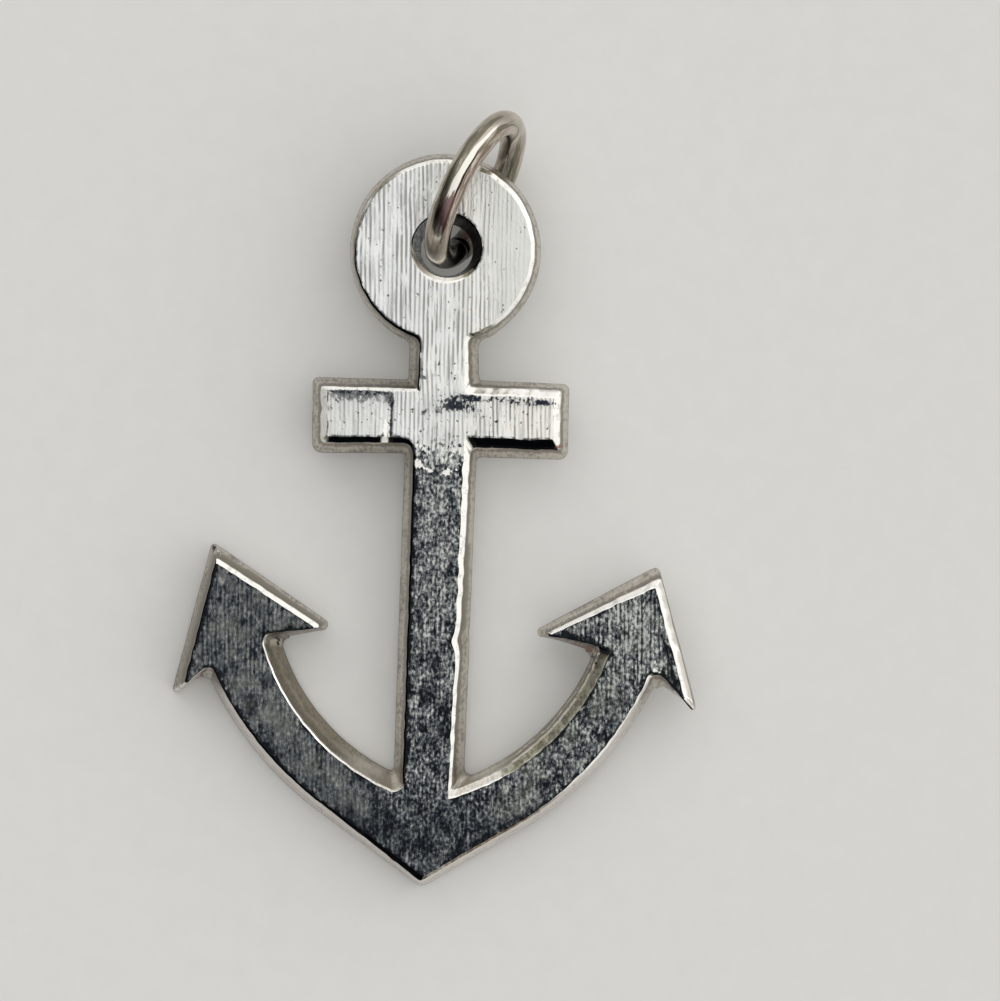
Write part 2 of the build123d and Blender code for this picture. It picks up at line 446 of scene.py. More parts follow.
@dataclass(frozen=True)
class BlackenedSilver:
    """The casting's finish: brushed and bright on eye and stock, dark below as oxide and painted dark
    reflection, with painted highlight and shade on the bevels.
    """

    back: Colour = (0.92, 0.92, 0.89)
    cool_silver: Colour = (0.90, 0.915, 0.91)
    warm_silver: Colour = (0.94, 0.92, 0.865)
    smooth_silver: Colour = (0.78, 0.785, 0.755)
    smeared_silver: Colour = (0.72, 0.735, 0.72)
    rubbed_grey: Colour = (0.74, 0.745, 0.72)
    scored: Colour = (0.19, 0.19, 0.18)
    haze: Colour = (0.42, 0.43, 0.42)
    # Near black, for real black marks and for painted shade and dark reflection on bevels, along edges and
    # round the hole's top.
    soot: Colour = (0.010, 0.012, 0.015)
    blue_soot: Colour = (0.016, 0.021, 0.032)
    charcoal: Colour = (0.028, 0.033, 0.043)
    slate: Colour = (0.110, 0.121, 0.130)
    ash: Colour = (0.29, 0.305, 0.300)
    pale_ash: Colour = (0.62, 0.64, 0.61)
    moss: Colour = (0.17, 0.175, 0.145)
    olive: Colour = (0.47, 0.46, 0.36)
    edge_highlight: Colour = (0.98, 0.965, 0.92)
    edge_worn_and_shaded: Colour = (0.55, 0.52, 0.47)
    wall_beige: Colour = (0.64, 0.59, 0.52)
    wall_olive: Colour = (0.25, 0.215, 0.15)
    wall_pale: Colour = (0.83, 0.79, 0.755)
    wall_cream: Colour = (0.88, 0.84, 0.76)
    wall_shade: Colour = (0.17, 0.145, 0.11)
    bore_dark_reflection: Colour = (0.075, 0.068, 0.050)
    bore_lit_blue: Colour = (0.58, 0.61, 0.64)
    bore_lit_grey: Colour = (0.24, 0.25, 0.26)
    copper: Colour = (0.30, 0.16, 0.11)
    line_pitch: float = 0.178
    line_sway: float = 0.30
    line_depth: float = 0.010
    grain_height: float = 0.016
    ragged_height: float = 0.010
    black_below: float = 17.75
    black_border: float = 0.12
    polish: float = 0.30

    def make(self) -> bpy.types.Material:
        """Makes the material.

        Returns:
            The finished material.
        """
        material, bench = new_material("blackened_silver")
        ground = Ground(bench)
        band, grain, ragged = ground.band, ground.grain, ground.ragged
        lines = self._lines(ground)
        # The dark part below the stock is partly oxide and partly a painted dark reflection.
        level = ground.up.waver(ragged, 2.6).waver(grain, 1.6)
        oxide_and_dark_reflection = level.rise(self.black_below + self.black_border, self.black_below - self.black_border)
        tarnished = self._tarnished(ground)
        arris = band.rise(0.78, 0.90) * band.rise(1.14, 1.04) * tarnished * ragged.rise(0.36, 0.46)
        bore = bench.attribute("bore")
        colour = bench.coats(
            self._bright_face(ground, lines),
            (oxide_and_dark_reflection, self._dark_face(ground, lines)),
            (1.0 - ground.on_face, self._bevel(ground, tarnished)),
            (ground.on_wall, self._wall(ground, tarnished)),
            (arris * 0.85, self.wall_cream),
            *self._touches(ground, oxide_and_dark_reflection),
            (bore * band.rise(2.6, 2.4), self._bore(ground)),
        )
        score = lines * ground.on_face * (1.0 - oxide_and_dark_reflection * 0.4)
        height = score * -self.line_depth + (grain - 0.5) * ground.on_face * self.grain_height
        height = height + (ragged - 0.5) * (1.0 - ground.on_bevel) * self.ragged_height
        dullness = oxide_and_dark_reflection * ground.on_face * 0.18 + ground.on_wall * 0.06 - ground.on_bevel * 0.12
        roughness = dullness + self.polish
        metal = 1.0 - (ground.amount(Paint.BEVEL_HIGHLIGHT) * ground.on_bevel + bore).clipped() * 0.85
        bench.surface(Base_Color=colour, Metallic=metal, Roughness=roughness, Normal=bench.bump(height))
        return material

    def _lines(self, ground: Ground) -> Shade:
        """The file's upright lines.

        Args:
            ground: what the mesh tells.

        Returns:
            1 in a line and 0 between two.
        """
        course = ground.across + ground.up * 0.03 + ground.grit(LINE_SWAY) * self.line_sway
        wave = (course * (2 * math.pi / self.line_pitch)).sine()
        strength = ground.grit(LINE_STRENGTH).rise(0.36, 0.60) * 0.9 + 0.35
        coarse = wave.rise(-0.3, 0.8) * ground.grit(LINE_BREAKS).rise(0.30, 0.54) * strength
        return (coarse * 0.8 + ground.grit(FINE_LINES).rise(0.50, 0.68) * 0.5).clipped()

    def _bright_face(self, ground: Ground, lines: Shade) -> Shade:
        """The brushed silver of the eye, neck and stock.

        Args:
            ground: what the mesh tells.
            lines: the file's lines.

        Returns:
            Its colour.
        """
        across, up, ragged = ground.across, ground.up, ground.ragged
        smooth_right = (across + (up - 26.0) * 0.15).rise(1.0, 2.3) * ground.within(EYE_FACE)
        rubbed_left = ground.within(STOCK_LEFT_END)
        smear = ground.grit(SMEARS).rise(0.46, 0.62) * ground.within(EYE)
        scored = lines * (1.0 - smooth_right * 0.80) * (1.0 - rubbed_left * 0.40)
        spots = ground.grit(PEPPER) + ragged * 0.5 - ground.within(EYE_AND_NECK) * 0.04
        shadow_line = ground.edge.rise(0.09, 0.02) * ground.facing.rise(-0.05, -0.45)
        return ground.bench.coats(
            self.cool_silver,
            ((across * 0.10).waver(ragged, 2.0).rise(-0.2, 0.5), self.warm_silver),
            (smooth_right, self.smooth_silver),
            (rubbed_left * 0.55, self.rubbed_grey),
            (ground.amount(Paint.SOOT_AND_SHADE).clipped() * 0.60, self.haze),
            (smear * 0.45, self.smeared_silver),
            (scored * 0.74, self.scored),
            (spots.rise(0.94, 1.00) * 0.85, self.charcoal),
            (shadow_line * ragged.rise(0.38, 0.55) * 0.85, self.soot),
        )

    def _dark_face(self, ground: Ground, lines: Shade) -> Shade:
        """The dark face of the shank, arms and flukes: partly oxide and partly a painted dark reflection.

        Args:
            ground: what the mesh tells.
            lines: the file's lines.

        Returns:
            Its colour.
        """
        grain, cloud, worn = ground.grain, ground.cloud, ground.amount(Paint.WORN)
        right_fluke, left_fluke = ground.within(RIGHT_FLUKE), ground.within(LEFT_FLUKE)
        left_side, crown = ground.within(LEFT_SIDE), ground.within(CROWN)
        blotches = ground.grit(BLOTCHES)
        fine = (grain - 0.5) * (2.2 - left_side * 1.20)
        fine = fine + (ground.grit(STREAKS) - 0.5) * (1.25 - left_side * 0.35)
        mottle = fine + (blotches - 0.5) * (1.0 - left_side * 0.6) - blotches.rise(0.46, 0.34) * 0.20
        on_lines = (0.40 - lines) * (right_fluke * 0.42 + left_fluke * 0.12 + 0.08)
        tone = worn - crown * 0.05 - left_side * 0.05 + mottle * (1.0 - crown * 0.25) + on_lines + 0.50
        tints = self.soot, self.charcoal, self.slate, self.ash, self.pale_ash
        stops = [(i / (len(tints) - 1), tint) for i, tint in enumerate(tints)]
        tone = tone.waver(cloud, 0.5)
        outward = (ground.across * ground.across).rise(1.5, 9.0)
        veil = outward * (1.0 - right_fluke * 0.7) * (cloud + worn).rise(0.45, 0.75)
        looking_down = ground.lean_y.rise(-0.1, -0.4) * ground.within(RIGHT_SIDE)
        shaded = ground.facing.rise(0.1, -0.5).most(looking_down)
        border = ground.edge.waver(grain, 0.25).waver(blotches, 0.60)
        # Painted shade: a dark line along the face's edge, wider where the edge faces away from the light.
        rim = (border - shaded * 0.07 - 0.03).rise(0.06, -0.06)
        return ground.bench.coats(
            ground.bench.node("ShaderNodeValToRGB", {"stops": stops}, {0: tone}, "Color"),
            (veil * 0.45, self.moss),
            (lines * 0.20, self.soot),
            (rim * 0.95, self.soot),
        )

    def _tarnished(self, ground: Ground) -> Shade:
        """Masks the tarnished stretch of the right arm's inner side.

        Args:
            ground: what the mesh tells.

        Returns:
            1 where it is tarnished.
        """
        inner_side = ground.lean_y.rise(0.15, 0.35) * ground.lean_x.rise(0.05, -0.15)
        arm = ground.across.waver(ground.ragged, 2.0).rise(3.0, 3.6)
        return inner_side * arm * ground.up.rise(10.35, 10.0)

    def _bevel(self, ground: Ground, tarnished: Shade) -> Shade:
        """The bevel, lit and shaded in paint: a white painted highlight where it faces right or up, olive
        between, and black painted shade where it faces left or down.

        Args:
            ground: what the mesh tells.
            tarnished: where the inner side is tarnished.

        Returns:
            Its colour.
        """
        bench, band, grain, ragged = ground.bench, ground.band, ground.grain, ground.ragged
        turned = ground.facing.waver(ragged, 0.20) + ground.amount(Paint.BEVEL_HIGHLIGHT)
        mottled = (grain * 0.4 + ragged * 0.6).rise(0.42, 0.60)
        # olive: the half-tone between the painted highlight and the painted shade.
        olive = bench.mix(mottled * 0.8, self.olive, self.wall_shade)
        dulled = (ragged + grain * 0.25).rise(0.66, 0.80)
        cream = bench.mix(grain.rise(0.40, 0.65), self.wall_cream, self.wall_beige)
        inner = self._under_crown(ground) * band.waver(ragged, 0.6).rise(0.12, 0.30)
        lit_bevel = bench.coats(self.edge_highlight, (dulled * 0.5, self.edge_worn_and_shaded), (inner * 0.9, cream))
        # Painted shade: the right fluke's outer bevel greys where it rounds over towards the wall.
        rounded = ground.lean_x.rise(0.70, 0.85) * ground.within(RIGHT_FLUKE_EDGE)
        rounded = rounded * band.waver(ragged, 0.5).rise(0.22, 0.70)
        return bench.coats(
            self.soot,
            (turned.rise(-0.34, -0.18), olive),
            (turned.rise(0.0, 0.14) * (1.0 - tarnished), lit_bevel),
            (rounded * 0.85, self.edge_worn_and_shaded),
        )

    def _under_crown(self, ground: Ground) -> Shade:
        """Masks the sides that look up into the bays, beside the shank's foot."""
        return ground.lean_y.rise(0.30, 0.60) * ground.within(CROWN_EDGES)

    def _wall(self, ground: Ground, tarnished: Shade) -> Shade:
        """The side walls: beige, stained along the top, with a pale line and a painted contact shadow at the
        foot; painted shade on walls that face left or lie under the flukes, and a painted dark reflection in
        the bays. The back is plain.

        Args:
            ground: what the mesh tells.
            tarnished: where the inner side is tarnished.

        Returns:
            Their colour.
        """
        bench, band, grain, cloud = ground.bench, ground.band, ground.grain, ground.cloud
        lean_y, up = ground.lean_y, ground.up
        pale = (lean_y * up.rise(9.5, 7.5)).rise(-0.25, -0.60)
        # Painted dark reflection: the walls in the bays are darkened, as they reflect the dark bay.
        bay_dark_reflection = lean_y.rise(0.10, 0.45) * up.rise(10.8, 10.2) * (up.rise(4.4, 6.2) * 0.85 + 0.15)
        course, steady, uneven = (band.waver(cloud, width) for width in (0.7, 0.25, 0.9))
        upper = course.rise(1.0, 1.05) * course.rise(1.45, 1.12) * (1.0 - pale)
        stain = (cloud * 0.5 + grain * 0.5 + upper * 0.20).rise(0.44, 0.66) * (0.80 - pale * 0.65)
        seam = steady.rise(1.52, 1.56) * steady.rise(1.66, 1.60) * pale * cloud.rise(0.38, 0.50)
        thread = course.rise(1.40, 1.46) * course.rise(1.60, 1.54) * (1.0 - pale) * grain.rise(0.42, 0.52)
        crest = ground.facing.rise(0.55, 0.85) * ground.within(RIGHT_FLUKE_CREST) * uneven.rise(1.75, 1.45)
        # Painted contact shadow along the wall's foot.
        foot = band.waver(grain, 0.10).rise(1.88, 1.96) * band.rise(2.3, 2.05)
        # Painted shade on the walls that face left, away from the light.
        left_wall_shade = ground.lean_x.rise(-0.60, -0.85) * ground.within(LEFT_FLUKE_EDGE) * uneven.rise(2.0, 1.2)
        # Painted shade on the walls that face down under the flukes.
        under = lean_y.rise(-0.50, -0.80) * ground.within(UNDER_FLUKES) * (ground.ragged - 0.1)
        return bench.coats(
            self.wall_beige,
            (pale, self.wall_pale),
            (bay_dark_reflection * 0.85, self.wall_olive),
            (stain, self.wall_shade),
            (seam * 0.40, self.wall_shade),
            (thread * (tarnished * 0.7 + 0.15), self.wall_cream),
            (crest * 0.9, bench.mix(grain, self.wall_shade, self.wall_olive)),
            (foot * (0.75 - pale * 0.45), self.wall_shade),
            (band.rise(2.4, 2.7), bench.mix(grain.rise(0.4, 0.7), self.back, self.ash)),
            (left_wall_shade * 0.75, self.wall_shade),
            (under * 1.1, self.wall_shade),
            (self._under_crown(ground) * band.rise(1.9, 1.6) * (0.9 - grain * 0.4), self.wall_cream),
        )

    def _touches(self, ground: Ground, oxide_and_dark_reflection: Shade) -> list[Coat]:
        """The listed touches: black patches, partly real and partly painted shade, white painted highlights,
        and copper.

        Args:
            ground: what the mesh tells.
            oxide_and_dark_reflection: 1 on the dark part of the face.

        Returns:
            Their coats.
        """
        soot_and_shade_tint = ground.bench.mix(oxide_and_dark_reflection, self.blue_soot, self.soot)
        thin = (1.0 - oxide_and_dark_reflection) * ground.within(STOCK_LEFT_HALF) * ground.grain.rise(0.38, 0.62)
        return [
            (ground.painted(Paint.SOOT_AND_SHADE) * (0.98 - thin * 0.42), soot_and_shade_tint),
            (ground.painted(Paint.GLEAM) * ground.band.rise(1.8, 1.6), self.edge_highlight),
            (ground.painted(Paint.COPPER) * 0.9, self.copper),
        ]

    def _bore(self, ground: Ground) -> Shade:
        """The hole's wall: a black painted dark reflection round its top, which faces away from the light,
        and a painted lit blue-grey below.

        Args:
            ground: what the mesh tells.

        Returns:
            Its colour.
        """
        bench, grain = ground.bench, ground.grain
        lower = bench.mix(grain.rise(0.4, 0.6), self.bore_lit_blue, self.bore_lit_grey)
        upper = bench.mix(grain.rise(0.40, 0.60) * 0.6, self.soot, self.bore_dark_reflection)
        return bench.mix(ground.facing.waver(grain, 0.6).rise(-0.30, 0.15), upper, lower)


@dataclass(frozen=True)
class Stripe:
    """A stripe along the wire, between two soft borders on its section, from -1 to 1.

    Args:
        start: from where it starts to where it is full.
        end: from where it is full to where it is gone.
    """

    start: Span
    end: Span

    def over(self, shade: Shade) -> Shade:
        """The stripe's mask at a place across the wire."""
        return shade.rise(*self.start) * shade.rise(self.end[1], self.end[0])


HIGHLIGHT_LEFT = (-0.24, -0.12)
HIGHLIGHT_RIGHT = (0.36, 0.28)
OLIVE_STRIPE = Stripe((-0.86, -0.76), (-0.24, -0.14))
BLACK_LINE = Stripe((0.29, 0.35), (0.41, 0.47))
# The plum and black stripes over the hole are painted dark reflections.
PLUM_STRIPE = Stripe((-0.45, -0.25), (0.46, 0.62))
DARK_HOLE_REFLECTION = Stripe((-0.90, -0.75), (-0.25, -0.10))
LEFT_SPOT = Stripe((-0.62, -0.50), (-0.25, -0.12))
RIGHT_SPOT = Stripe((0.20, 0.32), (0.54, 0.66))


@dataclass(frozen=True)
class PolishedWire:
    """The ring's finish: polished round wire with a warm tarnish, and painted reflections in stripes along
    its front: a bright highlight between dark bands.
    """

    # silver: the painted highlight along the wire's front.
    silver: Colour = (0.96, 0.93, 0.86)
    beige: Colour = (0.60, 0.54, 0.46)
    tan: Colour = (0.44, 0.39, 0.32)
    tarnish_and_dark_reflection: Colour = (0.19, 0.175, 0.13)
    brown: Colour = (0.24, 0.18, 0.14)
    plum: Colour = (0.17, 0.085, 0.085)
    black: Colour = (0.012, 0.010, 0.010)
    fine_height: float = 0.012
    streak_height: float = 0.030
    polish: float = 0.10

    def make(self) -> bpy.types.Material:
        """Makes the material.

        Returns:
            The finished material.
        """
        material, bench = new_material("polished_wire")
        place = bench.attribute("wire", "Vector")
        along, side, rise = bench.split(place)
        streak = bench.noise(place, 0.8, 3.0, 0.55)
        fine = bench.noise(bench.join(along * 1.2, side * 5.0, rise * 5.0), 1.0, 3.0, 0.6)
        across = rise.waver(streak, 0.35)
        stripes, dark_reflections_and_shade = self._stripes(bench, across, fine), self._dark_reflections_and_shade(bench, across, rise, fine)
        colour = bench.coats(self.beige, (streak.rise(0.40, 0.60), self.tan), *stripes, *dark_reflections_and_shade)
        height = (fine - 0.5) * self.fine_height + (streak - 0.5) * self.streak_height
        roughness = fine * 0.16 + self.polish
        bench.surface(Base_Color=colour, Metallic=1.0, Roughness=roughness, Normal=bench.bump(height))
        return material

    def _stripes(self, bench: Bench, across: Shade, fine: Shade) -> list[Coat]:
        """The painted reflections in stripes on the front of the wire: a bright highlight, olive and brown
        bands, and a black line; the olive is partly tarnish.

        Args:
            bench: the finish's bench.
            across: the place across the wire, as seen from the front, from -1 to 1.
            fine: the fine noise along the wire.

        Returns:
            Their coats.
        """
        front = (bench.attribute("front") * 2.0).clipped()
        upper = bench.attribute("upper")
        # Painted reflections: a bright highlight between dark olive and brown bands, with a black line.
        highlight = (across - upper * 0.25).rise(*HIGHLIGHT_LEFT) * across.rise(*HIGHLIGHT_RIGHT)
        olive = OLIVE_STRIPE.over(across) * fine.rise(0.28, 0.46)
        mottled = bench.mix(fine.rise(0.45, 0.6), self.brown, self.beige)
        return [
            (front * highlight, self.silver),
            (front * olive * 0.95, self.tarnish_and_dark_reflection),
            (front * across.rise(0.26, 0.34) * 0.90, mottled),
            (front * BLACK_LINE.over(across) * (1.0 - upper).clipped(), self.black),
        ]

    def _dark_reflections_and_shade(self, bench: Bench, across: Shade, rise: Shade, fine: Shade) -> list[Coat]:
        """The dark patches on the wire: painted dark reflections in plum and black over the hole and in dark
        spots at the top, the spots partly tarnish, and painted shade in black inside the hole.

        Args:
            bench: the finish's bench.
            across: the uneven place across the wire, from -1 to 1.
            rise: the even one.
            fine: the fine noise along the wire.

        Returns:
            Their coats.
        """
        plum, upper = bench.attribute("plum"), bench.attribute("upper")
        spots = upper * (LEFT_SPOT.over(across) + RIGHT_SPOT.over(across)) * 1.2
        return [
            ((plum * PLUM_STRIPE.over(rise)).waver(fine, 1.4).rise(0.40, 0.60) * 0.9, self.plum),
            ((plum * DARK_HOLE_REFLECTION.over(rise)).waver(fine, 1.8).rise(0.50, 0.75) * 0.9, self.black),
            (spots.waver(fine, 1.4).rise(0.50, 0.70) * 0.85, self.tarnish_and_dark_reflection),
            (bench.attribute("sunk"), self.black),
        ]


@dataclass(frozen=True)
class PalePaper:
    """The plain pale surface that the pendant lies on."""

    tone: Colour = (0.84, 0.832, 0.812)
    fibres: float = 900.0
    fibre_height: float = 0.01

    def make(self) -> bpy.types.Material:
        """Makes the material.

        Returns:
            The finished material.
        """
        material, bench = new_material("pale_paper")
        place = bench.node("ShaderNodeTexCoord", {}, {}, "Object")
        fibre = bench.noise(place, self.fibres, 3.0, 0.6)
        colour = bench.mix(fibre, self.tone, tuple(part * 0.94 for part in self.tone))
        bump = bench.bump((fibre - 0.5) * self.fibre_height)
        bench.surface(Base_Color=colour, Roughness=0.9, Normal=bump)
        return material


@dataclass(frozen=True)
class Lay:
    """How the casting's flat drawing lies in the row's frame.

    Args:
        turn: columns are the directions across, up the shank and out of the face.
        shift: the drawing's own origin in those directions, in millimetres.
        thickness: from the back to the face.
    """

    turn: np.ndarray
    shift: np.ndarray
    thickness: float

    def place(self, points: np.ndarray) -> np.ndarray:
        """Points of the drawing, in millimetres, as points of the row's frame, in metres."""
        return (np.asarray(points, float) + self.shift) @ self.turn.T * MM


def mesh_corners(node: bpy.types.Object) -> np.ndarray:
    """Reads the corners of a solid's mesh.

    Args:
        node: the solid.

    Returns:
        The corners in metres, one to a row.
    """
    corners = np.zeros(len(node.data.vertices) * 3)
    node.data.vertices.foreach_get("co", corners)
    return corners.reshape(-1, 3)


def read_lay(node: bpy.types.Object, eye_level: float = 24.0, back_slope: float = -0.97) -> Lay:
    """Finds how the casting lies, from the solid itself.

    Args:
        node: the casting's solid.
        eye_level: a height up the shank over which only the eye is left.
        back_slope: the upright part of a face's direction, under which the face belongs to the back.

    Returns:
        The lay of its flat drawing.
    """
    back = [face for face in node.data.polygons if face.normal.z < back_slope]
    out = -sum((face.normal * face.area for face in back), Vector()).normalized()
    up = Vector((0.0, out.z, -out.y)).normalized()
    across = up.cross(out)
    turn = np.array(Matrix((across, up, out)).transposed())
    flat = mesh_corners(node) @ turn / MM
    low = flat.min(0)
    eye = flat[flat[:, 1] > low[1] + eye_level]
    middle = (eye[:, 0].min() + eye[:, 0].max()) / 2
    return Lay(turn, np.array((middle, low[1], low[2])), float(flat[:, 2].max() - low[2]))


class Swell:
    """A slow unevenness along a line or over a face, made of a few seeded waves."""

    def __init__(self, seed: int, shortest: float, longest: float, waves: int, height: float) -> None:
        """Draws the waves.

        Args:
            seed: of the random draw.
            shortest: the shortest wave, in millimetres.
            longest: the longest wave.
            waves: how many there are.
            height: about how high they reach together, in millimetres.
        """
        draw = np.random.default_rng(seed)
        length = np.exp(draw.uniform(np.log(shortest), np.log(longest), waves))
        heading = draw.uniform(0, 2 * np.pi, waves)
        self.pull = np.stack([np.cos(heading), np.sin(heading)]) * 2 * np.pi / length
        self.start = draw.uniform(0, 2 * np.pi, waves)
        self.height = height / math.sqrt(waves)

    def over(self, points: np.ndarray) -> np.ndarray:
        """The height at each of a list of flat points."""
        return np.sin(points[:, :2] @ self.pull + self.start).sum(1) * self.height


@dataclass(frozen=True)
class Corner:
    """A corner of the face's outline, with the side that runs on from it, anticlockwise.

    Args:
        out: across from the shank's middle.
        up: up from the crown's point.
        turn: the radius that rounds it on the face.
        foot: the radius that rounds it at the foot of the wall.
        sag: how far the side bulges outwards at its middle.
        bevel: the bevel's width at the side's start and end.
        wall: how far the wall stands out under it, at the side's start and end.
    """

    out: float
    up: float
    turn: float
    foot: float
    sag: float
    bevel: Span
    wall: Span


def courses(angles: np.ndarray | float) -> tuple[np.ndarray, np.ndarray]:
    """The directions ahead and outwards at one heading or more."""
    cosines, sines = np.cos(angles), np.sin(angles)
    return np.stack([cosines, sines], -1), np.stack([sines, -cosines], -1)


class Side:
    """One side of the outline: a straight line or an arc between two corners."""

    def __init__(self, corner: Corner, following: Corner, straight: float = 1e-4) -> None:
        """Works out the side's course.

        Args:
            corner: where it starts.
            following: where it ends.
            straight: half the angle under which its arc is taken for a line.
        """
        self.corner = corner
        self.start = np.array((corner.out, corner.up))
        chord = np.array((following.out, following.up)) - self.start
        reach = float(np.hypot(*chord))
        half = 2 * math.atan2(2 * corner.sag, reach)
        self.bend = 2 * half
        self.heading = math.atan2(chord[1], chord[0]) - half
        self.radius = None if abs(half) < straight else reach / (2 * math.sin(half))
        self.length = self.bend * self.radius if self.radius else reach

    def angle(self, along: np.ndarray) -> np.ndarray:
        """The heading at some distances from the side's start."""
        return self.heading + self.bend * np.clip(along / self.length, 0, 1)

    def point(self, along: np.ndarray, reach: np.ndarray) -> np.ndarray:
        """Points beside the side.

        Args:
            along: distances from its start, before or past the side too.
            reach: how far out of the side they lie.

        Returns:
            The points, one to a row.
        """
        inner = np.clip(along, 0, self.length)
        ahead, outward = courses(self.angle(inner))
        if self.radius is None:
            on_side = self.start + ahead * inner[:, None]
        else:
            on_side = self.start + (outward - courses(self.heading)[1]) * self.radius
        return on_side + outward * reach[:, None] + ahead * (along - inner)[:, None]

    def widths(self, along: np.ndarray) -> tuple[np.ndarray, np.ndarray]:
        """The bevel's and the wall's width along the side.

        Args:
            along: distances from its start.

        Returns:
            The widths of each there.
        """
        share = np.clip(along / self.length, 0, 1)
        bevel, wall = (start + (end - start) * share for start, end in (self.corner.bevel, self.corner.wall))
        return bevel, wall


@dataclass(frozen=True)
class Level:
    """One ring round the casting, between the face's edge and the back.

    Args:
        bevel: the share of the bevel's width that lies inside it.
        wall: the share of the wall's width that lies inside it.
        fall: the share of the bevel's depth that lies above it.
        drop: the share of the wall's height that lies above it.
        tuck: how far it is drawn back in, in millimetres.
        band: the number that the finish reads: 0 on the face, 1 under the bevel, 2 at the foot, 3 behind.
        follow: how much of the face's uneven edge it follows.
    """

    bevel: float
    wall: float
    fall: float
    drop: float
    tuck: float
    band: float
    follow: float

    def reach(self, bevel: np.ndarray, wall: np.ndarray) -> np.ndarray:
        """How far out of the face's edge it lies, where bevel and wall have some widths."""
        return bevel * self.bevel + wall * self.wall - self.tuck


LEVELS = (
    Level(0.0, 0.0, 0.0, 0.0, 0.0, 0.0, 1.0),
    Level(0.10, 0.0, 0.05, 0.0, 0.0, 0.10, 0.95),
    Level(0.30, 0.0, 0.27, 0.0, 0.0, 0.30, 0.9),
    Level(0.60, 0.0, 0.60, 0.0, 0.0, 0.60, 0.8),
    Level(0.90, 0.0, 0.90, 0.0, 0.0, 0.90, 0.7),
    Level(1.0, 0.03, 1.0, 0.05, 0.0, 1.05, 0.6),
    Level(1.0, 0.25, 1.0, 0.25, 0.0, 1.25, 0.5),
    Level(1.0, 0.50, 1.0, 0.50, 0.0, 1.50, 0.4),
    Level(1.0, 0.75, 1.0, 0.75, 0.0, 1.75, 0.3),
    Level(1.0, 0.98, 1.0, 0.96, 0.0, 1.97, 0.2),
    Level(1.0, 1.0, 1.0, 0.99, 0.01, 2.05, 0.2),
    Level(1.0, 1.0, 1.0, 1.0, 0.05, 2.20, 0.2),
    Level(1.0, 1.0, 1.0, 1.0, 0.14, 3.0, 0.2),
)
FACE_BAND, BACK_BAND = LEVELS[0].band, LEVELS[-1].band


@dataclass
class Rings:
    """The rings of one closed outline, from the face's edge to the back.

    Args:
        flat: places in the drawing, by ring and then by point along it, in millimetres.
        lean: the outward direction at each point along a ring.
        band: the finish's number of each ring.
        outer: whether the metal lies inside the outline, and not round it.
    """

    flat: np.ndarray
    lean: np.ndarray
    band: list[float]
    outer: bool


@dataclass
class Rounding:
    """A corner's rounding on one ring.

    Args:
        arc: its points.
        lean: their outward directions.
        bevel: the bevel's width there.
        arrive: where the side before it ends, from that side's start.
        leave: where the side after it begins, from that side's start.
        overshoot: from the end of the side before to the rounding's first point.
        miss: from the start of the side after to the rounding's last point.
    """

    arc: np.ndarray
    lean: np.ndarray
    bevel: float
    arrive: float
    leave: float
    overshoot: np.ndarray
    miss: np.ndarray


